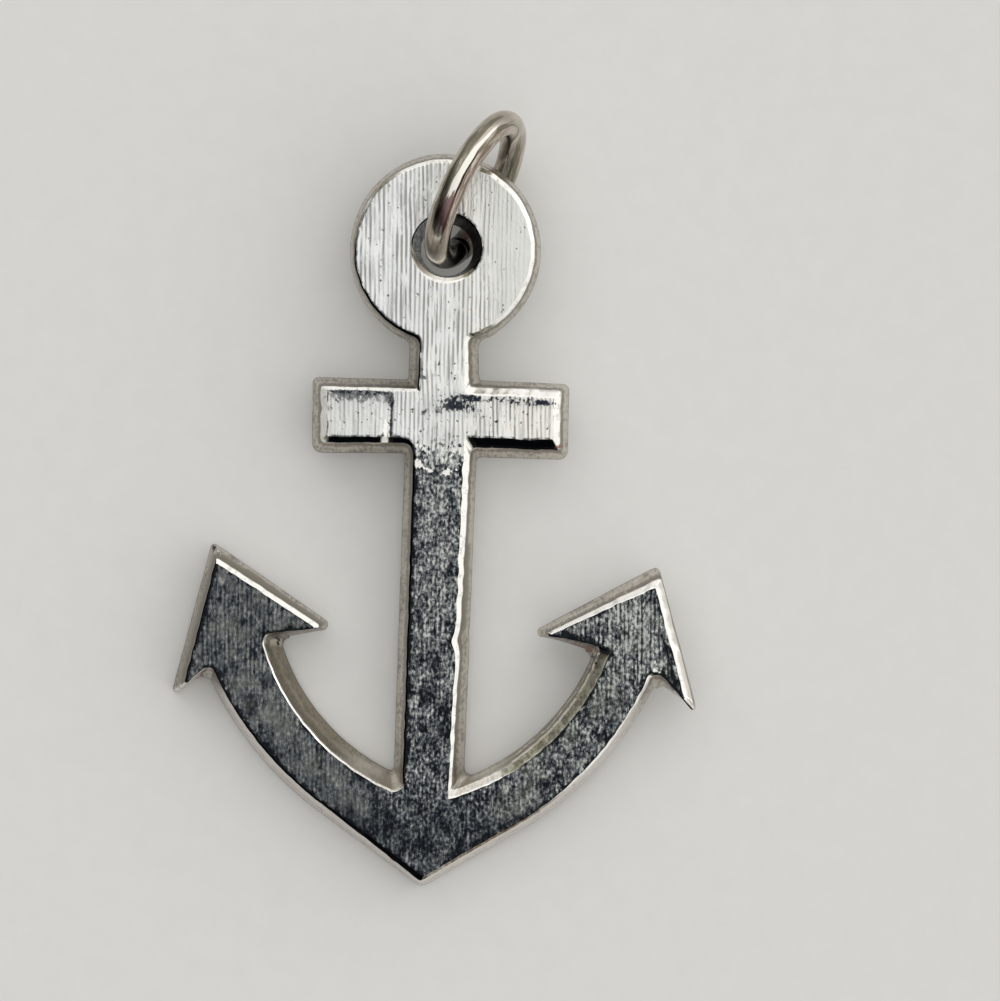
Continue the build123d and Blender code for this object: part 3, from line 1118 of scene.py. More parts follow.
class Outline:
    """The casting's outline, worked out from its corners."""

    shortest_radius = 0.012
    arc_step = 0.035
    most_arc_points = 14
    nearly_straight = 0.05

    def __init__(self, corners: list[Corner], step: float) -> None:
        """Works out the sides.

        Args:
            corners: the corners, anticlockwise.
            step: the distance between two points along a ring, in millimetres.
        """
        self.sides = [Side(c, corners[(i + 1) % len(corners)]) for i, c in enumerate(corners)]
        self.step = step

    def rings(self, thickness: float, bevel_slope: float) -> Rings:
        """Makes the rings.

        Args:
            thickness: from the back to the face.
            bevel_slope: the bevel's depth as a share of its width.

        Returns:
            The rings, with the face's edge first.
        """
        rows = []
        for level in LEVELS:
            places, lean, bevel = self._ring(level)
            depth = bevel * bevel_slope
            height = thickness - depth * level.fall - (thickness - depth) * level.drop
            rows.append(np.column_stack([places, height]))
        return Rings(np.array(rows), lean, [level.band for level in LEVELS], True)

    def _ring(self, level: Level) -> tuple[np.ndarray, ...]:
        """Goes once round the outline, on one level.

        Args:
            level: the ring's level.

        Returns:
            The ring's points, their outward directions and the bevel's width there.
        """
        corners = [self._rounding(i, level) for i in range(len(self.sides))]
        rows = []
        for side, begin, end in zip(self.sides, corners, corners[1:] + corners[:1]):
            rows.append((begin.arc, begin.lean, np.full(len(begin.arc), begin.bevel)))
            count = max(2, int(round(side.length / self.step)))
            share = np.linspace(0, 1, count + 2)[1:-1]
            along = begin.leave + (end.arrive - begin.leave) * share
            bevel, wall = side.widths(along)
            places = side.point(along, level.reach(bevel, wall))
            places = places + begin.miss * ((1 - share) ** 2)[:, None] + end.overshoot * (share**2)[:, None]
            rows.append((places, courses(side.angle(along))[1], bevel))
        return tuple(np.concatenate(column) for column in zip(*rows))

    def _rounding(self, index: int, level: Level) -> Rounding:
        """Rounds the corner at the start of a side, on one level.

        Args:
            index: the number of the side that starts there.
            level: the ring's level.

        Returns:
            The corner's rounding.
        """
        before, after = self.sides[index - 1], self.sides[index]
        corner = after.corner
        heading, zero = before.heading + before.bend, np.zeros(1)
        bend = (after.heading - heading + math.pi) % (2 * math.pi) - math.pi
        bevel_in, wall_in = before.widths(zero + before.length)
        bevel_out, wall_out = after.widths(zero)
        reach_in, reach_out = level.reach(bevel_in, wall_in), level.reach(bevel_out, wall_out)
        (ahead_in, out_in), (ahead_out, out_out) = courses(heading), courses(after.heading)
        place = np.array((corner.out, corner.up))
        if abs(math.sin(bend)) < self.nearly_straight:
            tip = place + (out_in * reach_in + out_out * reach_out) / 2
        else:
            tip = place + np.linalg.solve(np.array([out_in, out_out]), np.array((reach_in[0], reach_out[0])))
        depth = (level.bevel + level.wall * 2) / 3
        radius = max(self.shortest_radius, corner.turn + (corner.foot - corner.turn) * depth)
        widest = max(corner.turn, corner.foot, 0.15)
        count = max(3, min(self.most_arc_points, int(abs(bend) * widest / self.arc_step)))
        lean = courses(heading + bend * np.linspace(0, 1, count))[1]
        first = tip - ahead_in * (radius * math.tan(abs(bend) / 2))
        arc = first + (lean - out_in) * math.copysign(radius, bend)
        arrive = before.length + float((first - before.point(zero + before.length, reach_in)[0]) @ ahead_in)
        leave = float((arc[-1] - after.point(zero, reach_out)[0]) @ ahead_out)
        overshoot = first - before.point(zero + arrive, reach_in)[0]
        miss = arc[-1] - after.point(zero + leave, reach_out)[0]
        return Rounding(arc, lean, float(bevel_in[0] + bevel_out[0]) / 2, arrive, leave, overshoot, miss)


@dataclass(frozen=True)
class Touch:
    """A touch of paint: an oval patch, strongest in its middle.

    Args:
        out: across from the shank's middle.
        up: up from the crown's point.
        wide: its half width.
        high: its half height.
        tilt: its turn anticlockwise, in degrees.
        amount: its strength.
    """

    out: float
    up: float
    wide: float
    high: float
    tilt: float = 0.0
    amount: float = 1.0

    def over(self, flat: np.ndarray) -> np.ndarray:
        """The patch's strength, which fades from its middle to one and a half times its size.

        Args:
            flat: points of the drawing.

        Returns:
            The strength at each.
        """
        turn = math.radians(self.tilt)
        x, y = flat[:, 0] - self.out, flat[:, 1] - self.up
        u = (x * math.cos(turn) + y * math.sin(turn)) / self.wide
        v = (y * math.cos(turn) - x * math.sin(turn)) / self.high
        return self.amount * np.clip(1.5 - np.hypot(u, v), 0, 1)


@dataclass(frozen=True)
class Pit:
    """A small casting pit in the face."""

    out: float
    up: float
    radius: float = 0.07
    depth: float = 0.05


@dataclass(frozen=True)
class Dent:
    """A place where the face's edge bulges or gives, by push millimetres over a reach along it."""

    out: float
    up: float
    reach: float
    push: float


TOUCHES = {
    # Black patches: partly real marks, and partly painted shade in corners, along edges and at the feet of
    # walls.
    Paint.SOOT_AND_SHADE: (
        Touch(-0.68, 20.78, 0.10, 0.08),
        Touch(-0.28, 20.86, 0.10, 0.05, 20),
        Touch(0.58, 20.76, 0.07, 0.05),
        Touch(-3.30, 20.10, 1.45, 0.07),
        Touch(-3.45, 19.95, 1.25, 0.20, 0, 0.50),
        Touch(-3.30, 19.80, 1.35, 0.40, 0, 0.22),
        Touch(0.50, 19.70, 0.50, 0.22, 0, 0.36),
        Touch(0.30, 19.72, 1.10, 0.50, 0, 0.43),
        Touch(0.75, 20.05, 0.35, 0.20, 0, 0.30),
        Touch(1.35, 20.02, 0.30, 0.14, -8, 0.45),
        Touch(3.1, 19.92, 1.7, 0.19, -3, 0.56),
        Touch(4.2, 19.92, 0.35, 0.10, 0, 0.5),
        Touch(-0.64, 19.37, 0.14, 0.08, 30, 0.8),
        Touch(1.55, 19.40, 0.55, 0.28, -25, 0.38),
        Touch(2.30, 19.12, 0.14, 0.04),
        Touch(-1.95, 19.1, 0.05, 0.95),
        Touch(-2.05, 19.8, 0.30, 0.25, 0, 0.38),
        Touch(-1.75, 18.40, 0.45, 0.07, -20, 0.7),
        Touch(0.2, 18.30, 0.9, 0.45, 0, 0.36),
        Touch(2.35, 23.56, 0.13, 0.035, 30),
        Touch(-9.02, 13.54, 0.09, 0.12, 0, 1.3),
        Touch(9.40, 10.20, 1.50, 0.10, -71, 0.60),
        Touch(9.78, 8.80, 0.50, 0.22, -71, 0.62),
        Touch(5.90, 10.40, 1.10, 0.24, -12, 0.72),
        Touch(6.60, 9.55, 0.16, 0.30, 30, 0.60),
        Touch(7.02, 9.84, 0.20, 0.12, -40, 0.52),
        Touch(3.00, 2.64, 2.60, 0.12, 31.5, 0.60),
        Touch(-6.30, 9.85, 0.12, 0.42, 12, 0.62),
    ),
    # Painted highlights: small white glints on edges and bevels.
    Paint.GLEAM: (
        Touch(-8.84, 13.46, 0.05, 0.22, 20, 1.0),
        Touch(-8.98, 13.78, 0.14, 0.04, 0, 0.9),
        Touch(-2.18, 18.62, 0.10, 0.40, 0, 0.9),
        Touch(-0.78, 17.25, 0.26, 0.15, -35, 0.95),
        Touch(-0.35, 17.02, 0.22, 0.06, -25, 0.85),
        Touch(0.42, 16.98, 0.22, 0.15, 20),
        Touch(0.78, 17.05, 0.08, 0.08, 0, 0.8),
        Touch(-0.72, 17.95, 0.24, 0.09, -50, 0.9),
        Touch(9.10, 9.17, 0.20, 0.08, -12),
        Touch(9.04, 9.60, 0.05, 0.32, 0, 0.72),
        Touch(-8.10, 10.83, 0.12, 0.05, -20, 0.6),
        Touch(8.14, 12.82, 0.20, 0.07, 25, 0.8),
        Touch(1.28, 4.28, 0.46, 0.035, 60, 0.95),
    ),
    Paint.COPPER: (
        Touch(-9.45, 8.30, 0.42, 0.09, 52, 0.75),
        Touch(6.15, 10.02, 0.75, 0.16, -16, 0.62),
        Touch(3.1, 2.46, 3.0, 0.035, 31.5, 0.70),
        Touch(4.85, 18.15, 0.22, 0.10, 0, 0.75),
        Touch(-1.4, 1.20, 0.8, 0.03, -34.5, 0.60),
    ),
    # Painted highlights: each touch turns the bevels there towards their lit colour and makes them less
    # metallic.
    Paint.BEVEL_HIGHLIGHT: (
        Touch(-4.76, 19.25, 0.26, 1.65, 0, 1.45),
        Touch(-2.2, 18.15, 0.13, 0.30, 0, 1.2),
        Touch(6.7, 11.7, 2.3, 0.9, 26, 0.35),
        Touch(1.7, 4.1, 1.1, 0.35, 25, 0.6),
        Touch(-1.5, 4.1, 0.9, 0.4, -10, 0.6),
        Touch(-3.55, 27.3, 0.55, 2.2, -12, 0.55),
        Touch(6.2, 8.0, 2.6, 0.8, 56, 0.46),
    ),
    Paint.WORN: (
        Touch(0.1, 17.5, 1.2, 0.35, 0, 0.20),
        Touch(0.2, 15.6, 0.8, 2.0, 0, 0.14),
        Touch(-0.2, 12.0, 0.8, 2.0, 0, 0.09),
        Touch(0.0, 7.0, 0.9, 1.8, 0, -0.04),
        Touch(0.0, 2.6, 3.0, 1.6, 0, -0.13),
        Touch(-5.8, 6.6, 2.6, 0.50, -50, 0.11),
        Touch(-3.0, 3.9, 1.2, 0.5, -35, 0.10),
        Touch(6.3, 6.9, 2.2, 0.55, 52, 0.06),
        Touch(3.6, 4.0, 1.2, 0.4, 32, 0.06),
        Touch(8.2, 10.7, 1.2, 1.6, 0, 0.12),
    ),
}

PITS = (
    Pit(-2.57, 26.65),
    Pit(-2.61, 25.19, 0.05),
    Pit(-1.07, 24.10),
    Pit(-0.56, 24.44, 0.04),
    Pit(-0.87, 27.92, 0.06),
    Pit(0.49, 23.55, 0.04),
    Pit(-2.35, 28.48, 0.05),
    Pit(3.17, 26.96, 0.05, 0.03),
    Pit(1.79, 28.33, 0.05),
    Pit(1.75, 23.18, 0.04),
    Pit(-4.42, 19.40, 0.06),
    Pit(-4.40, 18.88, 0.05),
    Pit(-3.16, 19.70, 0.05),
    Pit(-3.10, 19.45, 0.04),
    Pit(2.60, 19.30, 0.04),
)

DENTS = (
    Dent(0.90, 10.15, 0.30, -0.15),
    Dent(0.90, 9.00, 0.60, 0.05),
    Dent(4.61, 19.55, 0.12, -0.06),
    Dent(-4.55, 19.40, 0.12, -0.08),
    Dent(3.60, 18.43, 0.30, 0.05),
    Dent(2.90, 20.08, 0.35, 0.03),
)


@dataclass
class Casting:
    """The cast anchor: eye, neck, stock, shank, arms and flukes in one piece.

    Args:
        lay: how its drawing lies in the row's frame.
        body: the body that it rides on.
        eye_out: the eye's middle, across.
        eye_up: the eye's middle, up.
        eye_radius: the radius of its face.
        neck_left: how far left of the shank's middle the neck meets the eye.
        neck_right: how far right of it.
        hole_out: the hole's middle, across.
        hole_up: the hole's middle, up.
        hole_radius: its radius at the face, bevel and all.
        hole_bevel: the width of its bevel at the bottom, where it is widest.
        hole_bevel_slope: the bevel's depth as a share of that width.
        hole_foot_radius: its radius at the back.
        hole_points: how many points go round it.
        bevel_slope: the outline's bevel's depth as a share of its width.
        step: the distance between two points along the outline.
        insets: how far inside the edge the face's first rows of points lie.
        grid: the distance between the points inside the face.
        jitter: how far they are moved out of line.
        groove_left: where the groove in the stock begins, across.
        groove_floor: where it is deepest.
        groove_right: where it ends.
        groove_depth: its depth.
        groove_low: its lower end.
        groove_high: its upper end.
        groove_fade: over how much of its length it runs out at the top.
        groove_points_from: how far down the mesh follows it, just inside the stock's lower edge.
        row_slack: the share of its inset by which a row's points have to clear the edge.
        mark_to_edge: how near to the edge a mark's points may lie.
        mark_to_row: how near to them a row's points may lie.
        mark_to_grid: how near to them the grid's points may lie.
        row_to_grid: how far inside the last row the grid begins.
        grid_pitch: the distance between the grid's lines as a share of that between its points.
        swell: the face's slow unevenness.
        edge_swell: the unevenness of the face's edge.
    """

    lay: Lay
    body: str
    eye_out: float = -0.07
    eye_up: float = 25.93
    eye_radius: float = 3.54
    neck_left: float = 0.84
    neck_right: float = 0.90
    hole_out: float = 0.06
    hole_up: float = 26.05
    hole_radius: float = 1.455
    hole_bevel: float = 0.26
    hole_bevel_slope: float = 0.35
    hole_foot_radius: float = 1.06
    hole_points: int = 96
    bevel_slope: float = 0.75
    step: float = 0.11
    insets: tuple[float, ...] = (0.06, 0.13, 0.21)
    grid: float = 0.115
    jitter: float = 0.012
    groove_left: float = -2.45
    groove_floor: float = -1.97
    groove_right: float = -1.87
    groove_depth: float = 0.15
    groove_low: float = 17.3
    groove_high: float = 19.95
    groove_fade: float = 0.35
    groove_points_from: float = 18.4
    row_slack: float = 0.93
    mark_to_edge: float = 0.03
    mark_to_row: float = 0.04
    mark_to_grid: float = 0.05
    row_to_grid: float = 0.07
    grid_pitch: float = 0.87
    swell: Swell = field(default_factory=lambda: Swell(5, 1.3, 6.0, 14, 0.010))
    edge_swell: Swell = field(default_factory=lambda: Swell(8, 0.35, 2.2, 16, 0.016))

    def corners(self) -> list[Corner]:
        """The outline's corners on the face.

        Returns:
            The corners, anticlockwise from the crown's point.
        """
        right = [
            Corner(-0.06, 0.57, 0.05, 0.42, 0.0, (0.12, 0.07), (0.33, 0.36)),
            Corner(4.10, 3.12, 3.0, 3.0, 0.62, (0.07, 0.15), (0.36, 0.30)),
            Corner(8.955, 9.50, 0.42, 0.10, 0.0, (0.05, 0.0), (0.50, 0.0)),
            Corner(10.32, 7.96, 0.05, 0.18, 0.0, (0.34, 0.36), (0.10, 0.06)),
            Corner(8.95, 12.56, 0.05, 0.22, 0.0, (0.27, 0.12), (0.44, 0.29)),
            Corner(4.70, 10.48, 0.04, 0.22, -0.07, (0.04, 0.03), (0.10, 0.42)),
            Corner(7.24, 9.98, 0.20, 0.28, -1.12, (0.44, 0.34), (0.17, 0.30)),
            Corner(0.84, 3.72, 0.03, 0.28, 0.0, (0.12, 0.29), (0.49, 0.24)),
            Corner(1.02, 18.42, 0.20, 0.20, 0.0, (0.44, 0.44), (0.36, 0.36)),
            Corner(4.62, 18.43, 0.04, 0.38, 0.0, (0.30, 0.30), (0.34, 0.34)),
            Corner(4.61, 20.08, 0.04, 0.28, 0.0, (0.36, 0.36), (0.30, 0.30)),
            Corner(1.00, 20.12, 0.12, 0.12, 0.0, (0.18, 0.14), (0.40, 0.42)),
        ]
        left = [
            Corner(-0.86, 20.20, 0.10, 0.12, 0.0, (0.12, 0.14), (0.40, 0.40)),
            Corner(-4.57, 20.16, 0.04, 0.25, 0.0, (0.28, 0.28), (0.40, 0.40)),
            Corner(-4.53, 18.28, 0.05, 0.42, 0.0, (0.27, 0.24), (0.40, 0.40)),
            Corner(-0.93, 18.34, 0.60, 0.14, 0.0, (0.10, 0.08), (0.38, 0.40)),
            Corner(-0.95, 3.78, 0.45, 0.16, -1.13, (0.09, 0.06), (0.62, 0.66)),
            Corner(-7.00, 10.22, 0.45, 0.26, 0.0, (0.04, 0.03), (0.34, 0.14)),
            Corner(-4.74, 10.49, 0.04, 0.25, 0.0, (0.20, 0.20), (0.24, 0.38)),
            Corner(-8.85, 12.98, 0.04, 0.16, 0.0, (0.06, 0.07), (0.43, 0.48)),
            Corner(-9.95, 8.02, 0.05, 0.15, 0.0, (0.0, 0.04), (0.0, 0.36)),
            Corner(-8.93, 9.00, 0.32, 0.10, 0.47, (0.06, 0.10), (0.36, 0.44)),
            Corner(-4.35, 3.55, 3.0, 3.0, 0.0, (0.10, 0.26), (0.44, 0.26)),
        ]
        return right + self._eye_corners() + left

    def _eye_corners(self) -> list[Corner]:
        """The eye's outline, from the neck's right side to its left.

        Returns:
            Corners on the eye's circle, joined by arcs of it.
        """
        neck, round_part = (0.30, 0.45), (3.0, 3.4)
        low = -math.acos((self.neck_right - self.eye_out) / self.eye_radius)
        high = math.pi + math.acos((self.neck_left + self.eye_out) / self.eye_radius)
        rows = (
            (low, neck, (0.12, 0.16), (0.14, 0.22)),
            (-0.35, round_part, (0.16, 0.20), (0.26, 0.28)),
            (0.75, round_part, (0.24, 0.17), (0.26, 0.34)),
            (math.pi / 2 + 0.2, round_part, (0.15, 0.07), (0.34, 0.24)),
            (3.0, round_part, (0.06, 0.14), (0.22, 0.12)),
            (high, neck, (0.05, 0.08), (0.44, 0.42)),
        )
        ends = [row[0] for row in rows[1:]] + [high]
        made = []
        for (angle, radii, bevel, wall), end in zip(rows, ends):
            out = self.eye_out + self.eye_radius * math.cos(angle)
            up = self.eye_up + self.eye_radius * math.sin(angle)
            sag = self.eye_radius * (1 - math.cos((end - angle) / 2))
            made.append(Corner(out, up, *radii, sag, bevel, wall))
        return made

    def build(self) -> bpy.types.Object:
        """Builds and dresses the casting.

        Returns:
            The finished piece, on its body.
        """
        outline = Outline(self.corners(), self.step)
        outside = self._worn(outline.rings(self.lay.thickness, self.bevel_slope))
        hole = self._hole_rings()
        shell = Shell(self._relief)
        shell.add_rings(outside)
        shell.add_rings(hole)
        shell.fill(outside.flat[0], hole.flat[0], self._face_points(outside, hole), up=True)
        shell.fill(outside.flat[-1], hole.flat[-1], np.zeros((0, 2)), up=False)
        piece = shell.piece("anchor_casting", self.lay, BlackenedSilver().make())
        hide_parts("anchor")
        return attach(piece, self.body)

    def _worn(self, rings: Rings) -> Rings:
        """Gives the outline its uneven, hand-finished edges and dents.

        Args:
            rings: the even rings, which it changes.

        Returns:
            The same rings.
        """
        edge = rings.flat[0]
        push = self.edge_swell.over(edge)
        for dent in DENTS:
            away = np.hypot(edge[:, 0] - dent.out, edge[:, 1] - dent.up) / dent.reach
            push = push + dent.push * np.exp(-(away**2))
        follow = np.array([level.follow for level in LEVELS])
        rings.flat[:, :, :2] += follow[:, None, None] * push[None, :, None] * rings.lean[None]
        return rings

    def _hole_rings(self) -> Rings:
        """The rings of the hole, from the face down to the back.

        Returns:
            The rings, whose bevel is wide at the bottom of the hole and narrow round its top.
        """
        turn = np.linspace(0, 2 * math.pi, self.hole_points, endpoint=False)
        spoke = courses(turn)[0]
        bevel = self.hole_bevel * (0.25 + 0.75 * np.clip(-np.sin(turn + 0.25), 0, 1))
        top, foot = self.lay.thickness, self.lay.thickness - self.hole_bevel * self.hole_bevel_slope
        shoulder, narrow = self.hole_radius - bevel, self.hole_foot_radius
        steps = (
            (self.hole_radius, top, 0.0),
            (self.hole_radius - bevel / 2, (top + foot) / 2, 0.5),
            (shoulder + 0.008, foot + 0.010, 0.90),
            (shoulder, foot, 1.05),
            (shoulder + (narrow - shoulder) * 0.33, foot * 0.67, 1.35),
            (shoulder + (narrow - shoulder) * 0.67, foot * 0.33, 1.67),
            (narrow, 0.04, 1.95),
            (narrow + 0.04, 0.0, 2.2),
            (narrow + 0.14, 0.0, BACK_BAND),
        )
        middle = np.array((self.hole_out, self.hole_up))
        rows = [
            np.column_stack([middle + spoke * np.reshape(radius, (-1, 1)), np.full(len(spoke), height)])
            for radius, height, _ in steps
        ]
        return Rings(np.array(rows), -spoke, [band for _, _, band in steps], False)

    def _relief(self, flat: np.ndarray, band: np.ndarray) -> np.ndarray:
        """How far the face lies below or above its plane: swell, groove and pits.

        Args:
            flat: points of the drawing.
            band: the finish's number of each.

        Returns:
            The height to add to each point, which fades out down the bevel.
        """
        hold = np.clip(1.3 - band, 0, 1)
        height = self.swell.over(flat) * np.clip(1.0 - band, 0, 1)
        left = (flat[:, 0] - self.groove_left) / (self.groove_floor - self.groove_left)
        right = (self.groove_right - flat[:, 0]) / (self.groove_right - self.groove_floor)
        cut = np.clip(np.minimum(left, right), 0, 1)
        end = np.clip((self.groove_high - flat[:, 1]) / self.groove_fade, 0, 1)
        cut = cut * end * (flat[:, 1] > self.groove_low)
        height = height - self.groove_depth * cut * hold
        for pit in PITS:
            away = np.hypot(flat[:, 0] - pit.out, flat[:, 1] - pit.up) / pit.radius
            height = height - pit.depth * np.clip(1.2 - away, 0, 1) * hold
        return height

    def _face_points(self, outside: Rings, hole: Rings) -> np.ndarray:
        """The points inside the face: rows along its edge, those of the marks, and an even grid.

        Args:
            outside: the outline's rings.
            hole: the hole's rings.

        Returns:
            The flat points, none of them too near to another.
        """
        edge = np.concatenate([outside.flat[0], hole.flat[0]])[:, :2]
        lean = np.concatenate([outside.lean, hole.lean])
        marks = self._mark_points()
        marks = marks[clearance(marks, outside, hole) > self.mark_to_edge]
        rows = []
        for inset in self.insets:
            row = edge - lean * inset
            row = row[clearance(row, outside, hole) > inset * self.row_slack]
            rows.append(row[nearest(row, marks)[0] >= self.mark_to_row])
        low, high = edge.min(0), edge.max(0)
        columns = np.arange(low[0], high[0], self.grid)
        lines = np.arange(low[1], high[1], self.grid * self.grid_pitch)
        grid = np.array([(x + (j % 2) * self.grid / 2, y) for j, y in enumerate(lines) for x in columns])
        grid = grid + np.random.default_rng(3).uniform(-self.jitter, self.jitter, grid.shape)
        grid = grid[clearance(grid, outside, hole) > self.insets[-1] + self.row_to_grid]
        grid = grid[nearest(grid, marks)[0] >= self.mark_to_grid]
        return np.concatenate([*rows, marks, grid])

    def _mark_points(self) -> np.ndarray:
        """The points that shape the pits and the groove.

        Returns:
            The flat points: two rings round each pit's middle, and three lines along the groove.
        """
        spoke = courses(np.linspace(0, 2 * math.pi, 9, endpoint=False))[0]
        marks = []
        for pit in PITS:
            middle = np.array((pit.out, pit.up))
            marks += [middle[None], middle + spoke * pit.radius * 0.5, middle + spoke * pit.radius * 1.25]
        level = np.arange(self.groove_points_from, self.groove_high + 0.1, 0.05)
        for line in (self.groove_left, self.groove_floor, self.groove_right):
            marks.append(np.stack([np.full(len(level), line), level], 1))
        return np.concatenate(marks)


def clearance(points: np.ndarray, outside: Rings, hole: Rings) -> np.ndarray:
    """How far inside the face each of some points lies.

    Args:
        points: flat points.
        outside: the outline's rings.
        hole: the hole's rings.

    Returns:
        The distances to the face's edge, and -1 outside it.
    """
    loops = [rings.flat[0][:, :2] for rings in (outside, hole)]
    away = np.minimum(*(nearest(points, densified(loop))[0] for loop in loops))
    inside = inside_loop(points, loops[0]) & ~inside_loop(points, loops[1])
    return np.where(inside, away, -1.0)


def densified(loop: np.ndarray) -> np.ndarray:
    """A closed loop with three more points on each of its sides."""
    following = np.roll(loop, -1, axis=0)
    return np.concatenate([loop + (following - loop) * share for share in (0, 0.25, 0.5, 0.75)])


def nearest(points: np.ndarray, targets: np.ndarray) -> tuple[np.ndarray, np.ndarray]:
    """Finds the nearest target of each point.

    Args:
        points: flat points.
        targets: the places to look among.

    Returns:
        The distances and the targets' numbers.
    """
    tree = KDTree(len(targets))
    for i, (x, y) in enumerate(targets[:, :2].tolist()):
        tree.insert((x, y, 0.0), i)
    tree.balance()
    found = [tree.find((x, y, 0.0)) for x, y in points[:, :2].tolist()]
    far = np.array([distance for _, _, distance in found])
    return far, np.array([number for _, number, _ in found], int)


def inside_loop(points: np.ndarray, loop: np.ndarray) -> np.ndarray:
    """Tells which points lie inside a closed loop, by the crossings of a ray to their right.

    Args:
        points: flat points.
        loop: the loop's points.

    Returns:
        Whether each point lies inside.
    """
    result = np.zeros(len(points), bool)
    following = np.roll(loop, -1, axis=0)
    for (x0, y0), (x1, y1) in zip(loop, following):
        if y0 == y1:
            continue
        crosses = (points[:, 1] > min(y0, y1)) & (points[:, 1] <= max(y0, y1))
        reach = x0 + (points[:, 1] - y0) * (x1 - x0) / (y1 - y0)
        result ^= crosses & (points[:, 0] < reach)
    return result


def triangulated(outer: np.ndarray, hole: np.ndarray, inner: np.ndarray) -> list[tuple[int, ...]]:
    """Cuts the flat between an outline and a hole into triangles.

    Args:
        outer: the outline's points.
        hole: the hole's points.
        inner: free points between them.

    Returns:
        The triangles, anticlockwise, with the points numbered in that order.
    """
    spots = [Vector(point) for point in np.concatenate([outer, hole, inner])]
    sides = [(i, (i + 1) % len(outer)) for i in range(len(outer))]
    sides += [(len(outer) + i, len(outer) + (i + 1) % len(hole)) for i in range(len(hole))]
    made, _, triangles, origin, _, _ = delaunay_2d_cdt(spots, sides, [], 0, 1e-7)
    places = np.array([tuple(point) for point in made])
    middles = np.array([places[list(corners)].mean(0) for corners in triangles])
    keep = inside_loop(middles, outer) & ~inside_loop(middles, hole)
    kept = []
    for corners, inside in zip(triangles, keep):
        a, b, c = (places[i] for i in corners)
        if (b[0] - a[0]) * (c[1] - a[1]) <= (b[1] - a[1]) * (c[0] - a[0]):
            corners = corners[::-1]
        if inside:
            kept.append(tuple(origin[i][0] for i in corners))
    return kept


@dataclass(frozen=True)
class Wall:
    """One outline's points among those of the shell.

    Args:
        face: the number of its first point at the face.
        back: the number of its first point at the back.
        size: how many points there are in a ring.
    """

    face: int
    back: int
    size: int

    def ring(self, up: bool) -> range:
        """The numbers of its ring at the face or at the back."""
        first = self.face if up else self.back
        return range(first, first + self.size)


class Shell:
    """The casting's skin, gathered ring by ring and face by face."""

    bore_starts = 3

    def __init__(self, relief: Callable[[np.ndarray, np.ndarray], np.ndarray]) -> None:
        """Starts with no points.

        Args:
            relief: gives the height to add to flat points of some bands.
        """
        self.relief = relief
        self.flat: list[np.ndarray] = []
        self.lean: list[np.ndarray] = []
        self.band: list[np.ndarray] = []
        self.faces: list[tuple[int, ...]] = []
        self.walls: list[Wall] = []
        self.count = 0

    def _add(self, flat: np.ndarray, lean: np.ndarray, band: float) -> int:
        """Adds points.

        Args:
            flat: their places in the drawing, before the relief.
            lean: their outward directions.
            band: the finish's number.

        Returns:
            The number of the first.
        """
        bands = np.full(len(flat), band)
        lifted = flat.copy()
        lifted[:, 2] += self.relief(flat, bands)
        self.flat.append(lifted)
        self.lean.append(lean)
        self.band.append(bands)
        self.count += len(flat)
        return self.count - len(flat)

    def add_rings(self, rings: Rings) -> None:
        """Adds a wall of rings.

        Args:
            rings: the rings, with the face's edge first.
        """
        size = rings.flat.shape[1]
        starts = [self._add(row, rings.lean, band) for row, band in zip(rings.flat, rings.band)]
        for upper, lower in zip(starts, starts[1:]):
            for j in range(size):
                k = (j + 1) % size
                quad = (upper + j, lower + j, lower + k, upper + k)
                self.faces.append(quad if rings.outer else quad[::-1])
        self.walls.append(Wall(starts[0], starts[-1], size))

    def fill(self, outer: np.ndarray, hole: np.ndarray, inner: np.ndarray, up: bool) -> None:
        """Fills the face or the back between the outline and the hole.

        Args:
            outer: the outline's ring.
            hole: the hole's ring.
            inner: free points between them.
            up: whether it is the face, and not the back.
        """
        numbers = [number for wall in self.walls for number in wall.ring(up)]
        if len(inner):
            _, which = nearest(inner, np.concatenate([outer, hole]))
            lean = np.concatenate(self.lean)[np.array(numbers)[which]]
            flat = np.column_stack([inner, np.full(len(inner), outer[0, 2])])
            start = self._add(flat, lean, FACE_BAND if up else BACK_BAND)
            numbers += range(start, start + len(inner))
        for corners in triangulated(outer[:, :2], hole[:, :2], inner):
            self.faces.append(tuple(numbers[i] for i in (corners if up else corners[::-1])))

    def piece(self, name: str, lay: Lay, material: bpy.types.Material) -> bpy.types.Object:
        """Makes the mesh, with what the finish reads stored on it.

        Args:
            name: the piece's name.
            lay: how the drawing lies in the row's frame.
            material: the finish.

        Returns:
            The new object.
        """
        flat, lean, band = (np.concatenate(rows) for rows in (self.flat, self.lean, self.band))
        mesh = bpy.data.meshes.new(name)
        mesh.from_pydata(lay.place(flat).tolist(), [], self.faces)
        rims = [np.array(wall.ring(up=True)) for wall in self.walls]
        edge = nearest(flat, np.concatenate([densified(flat[rim, :2]) for rim in rims]))[0]
        edge[band > FACE_BAND] = 0.0
        edge[np.concatenate(rims)] = 0.0
        hole = self.walls[1]
        bore = np.zeros(len(flat))
        bore[hole.face + self.bore_starts * hole.size : hole.back + hole.size] = 1.0
        store(mesh, "flat", flat)
        store(mesh, "lean", np.column_stack([lean, np.zeros(len(lean))]))
        store(mesh, "band", band)
        store(mesh, "edge", np.minimum(edge, 2.0))
        store(mesh, "bore", bore)
        for paint, touches in TOUCHES.items():
            store(mesh, paint.value, sum(touch.over(flat) for touch in touches))
        return finished(mesh, material, crease=28.0)


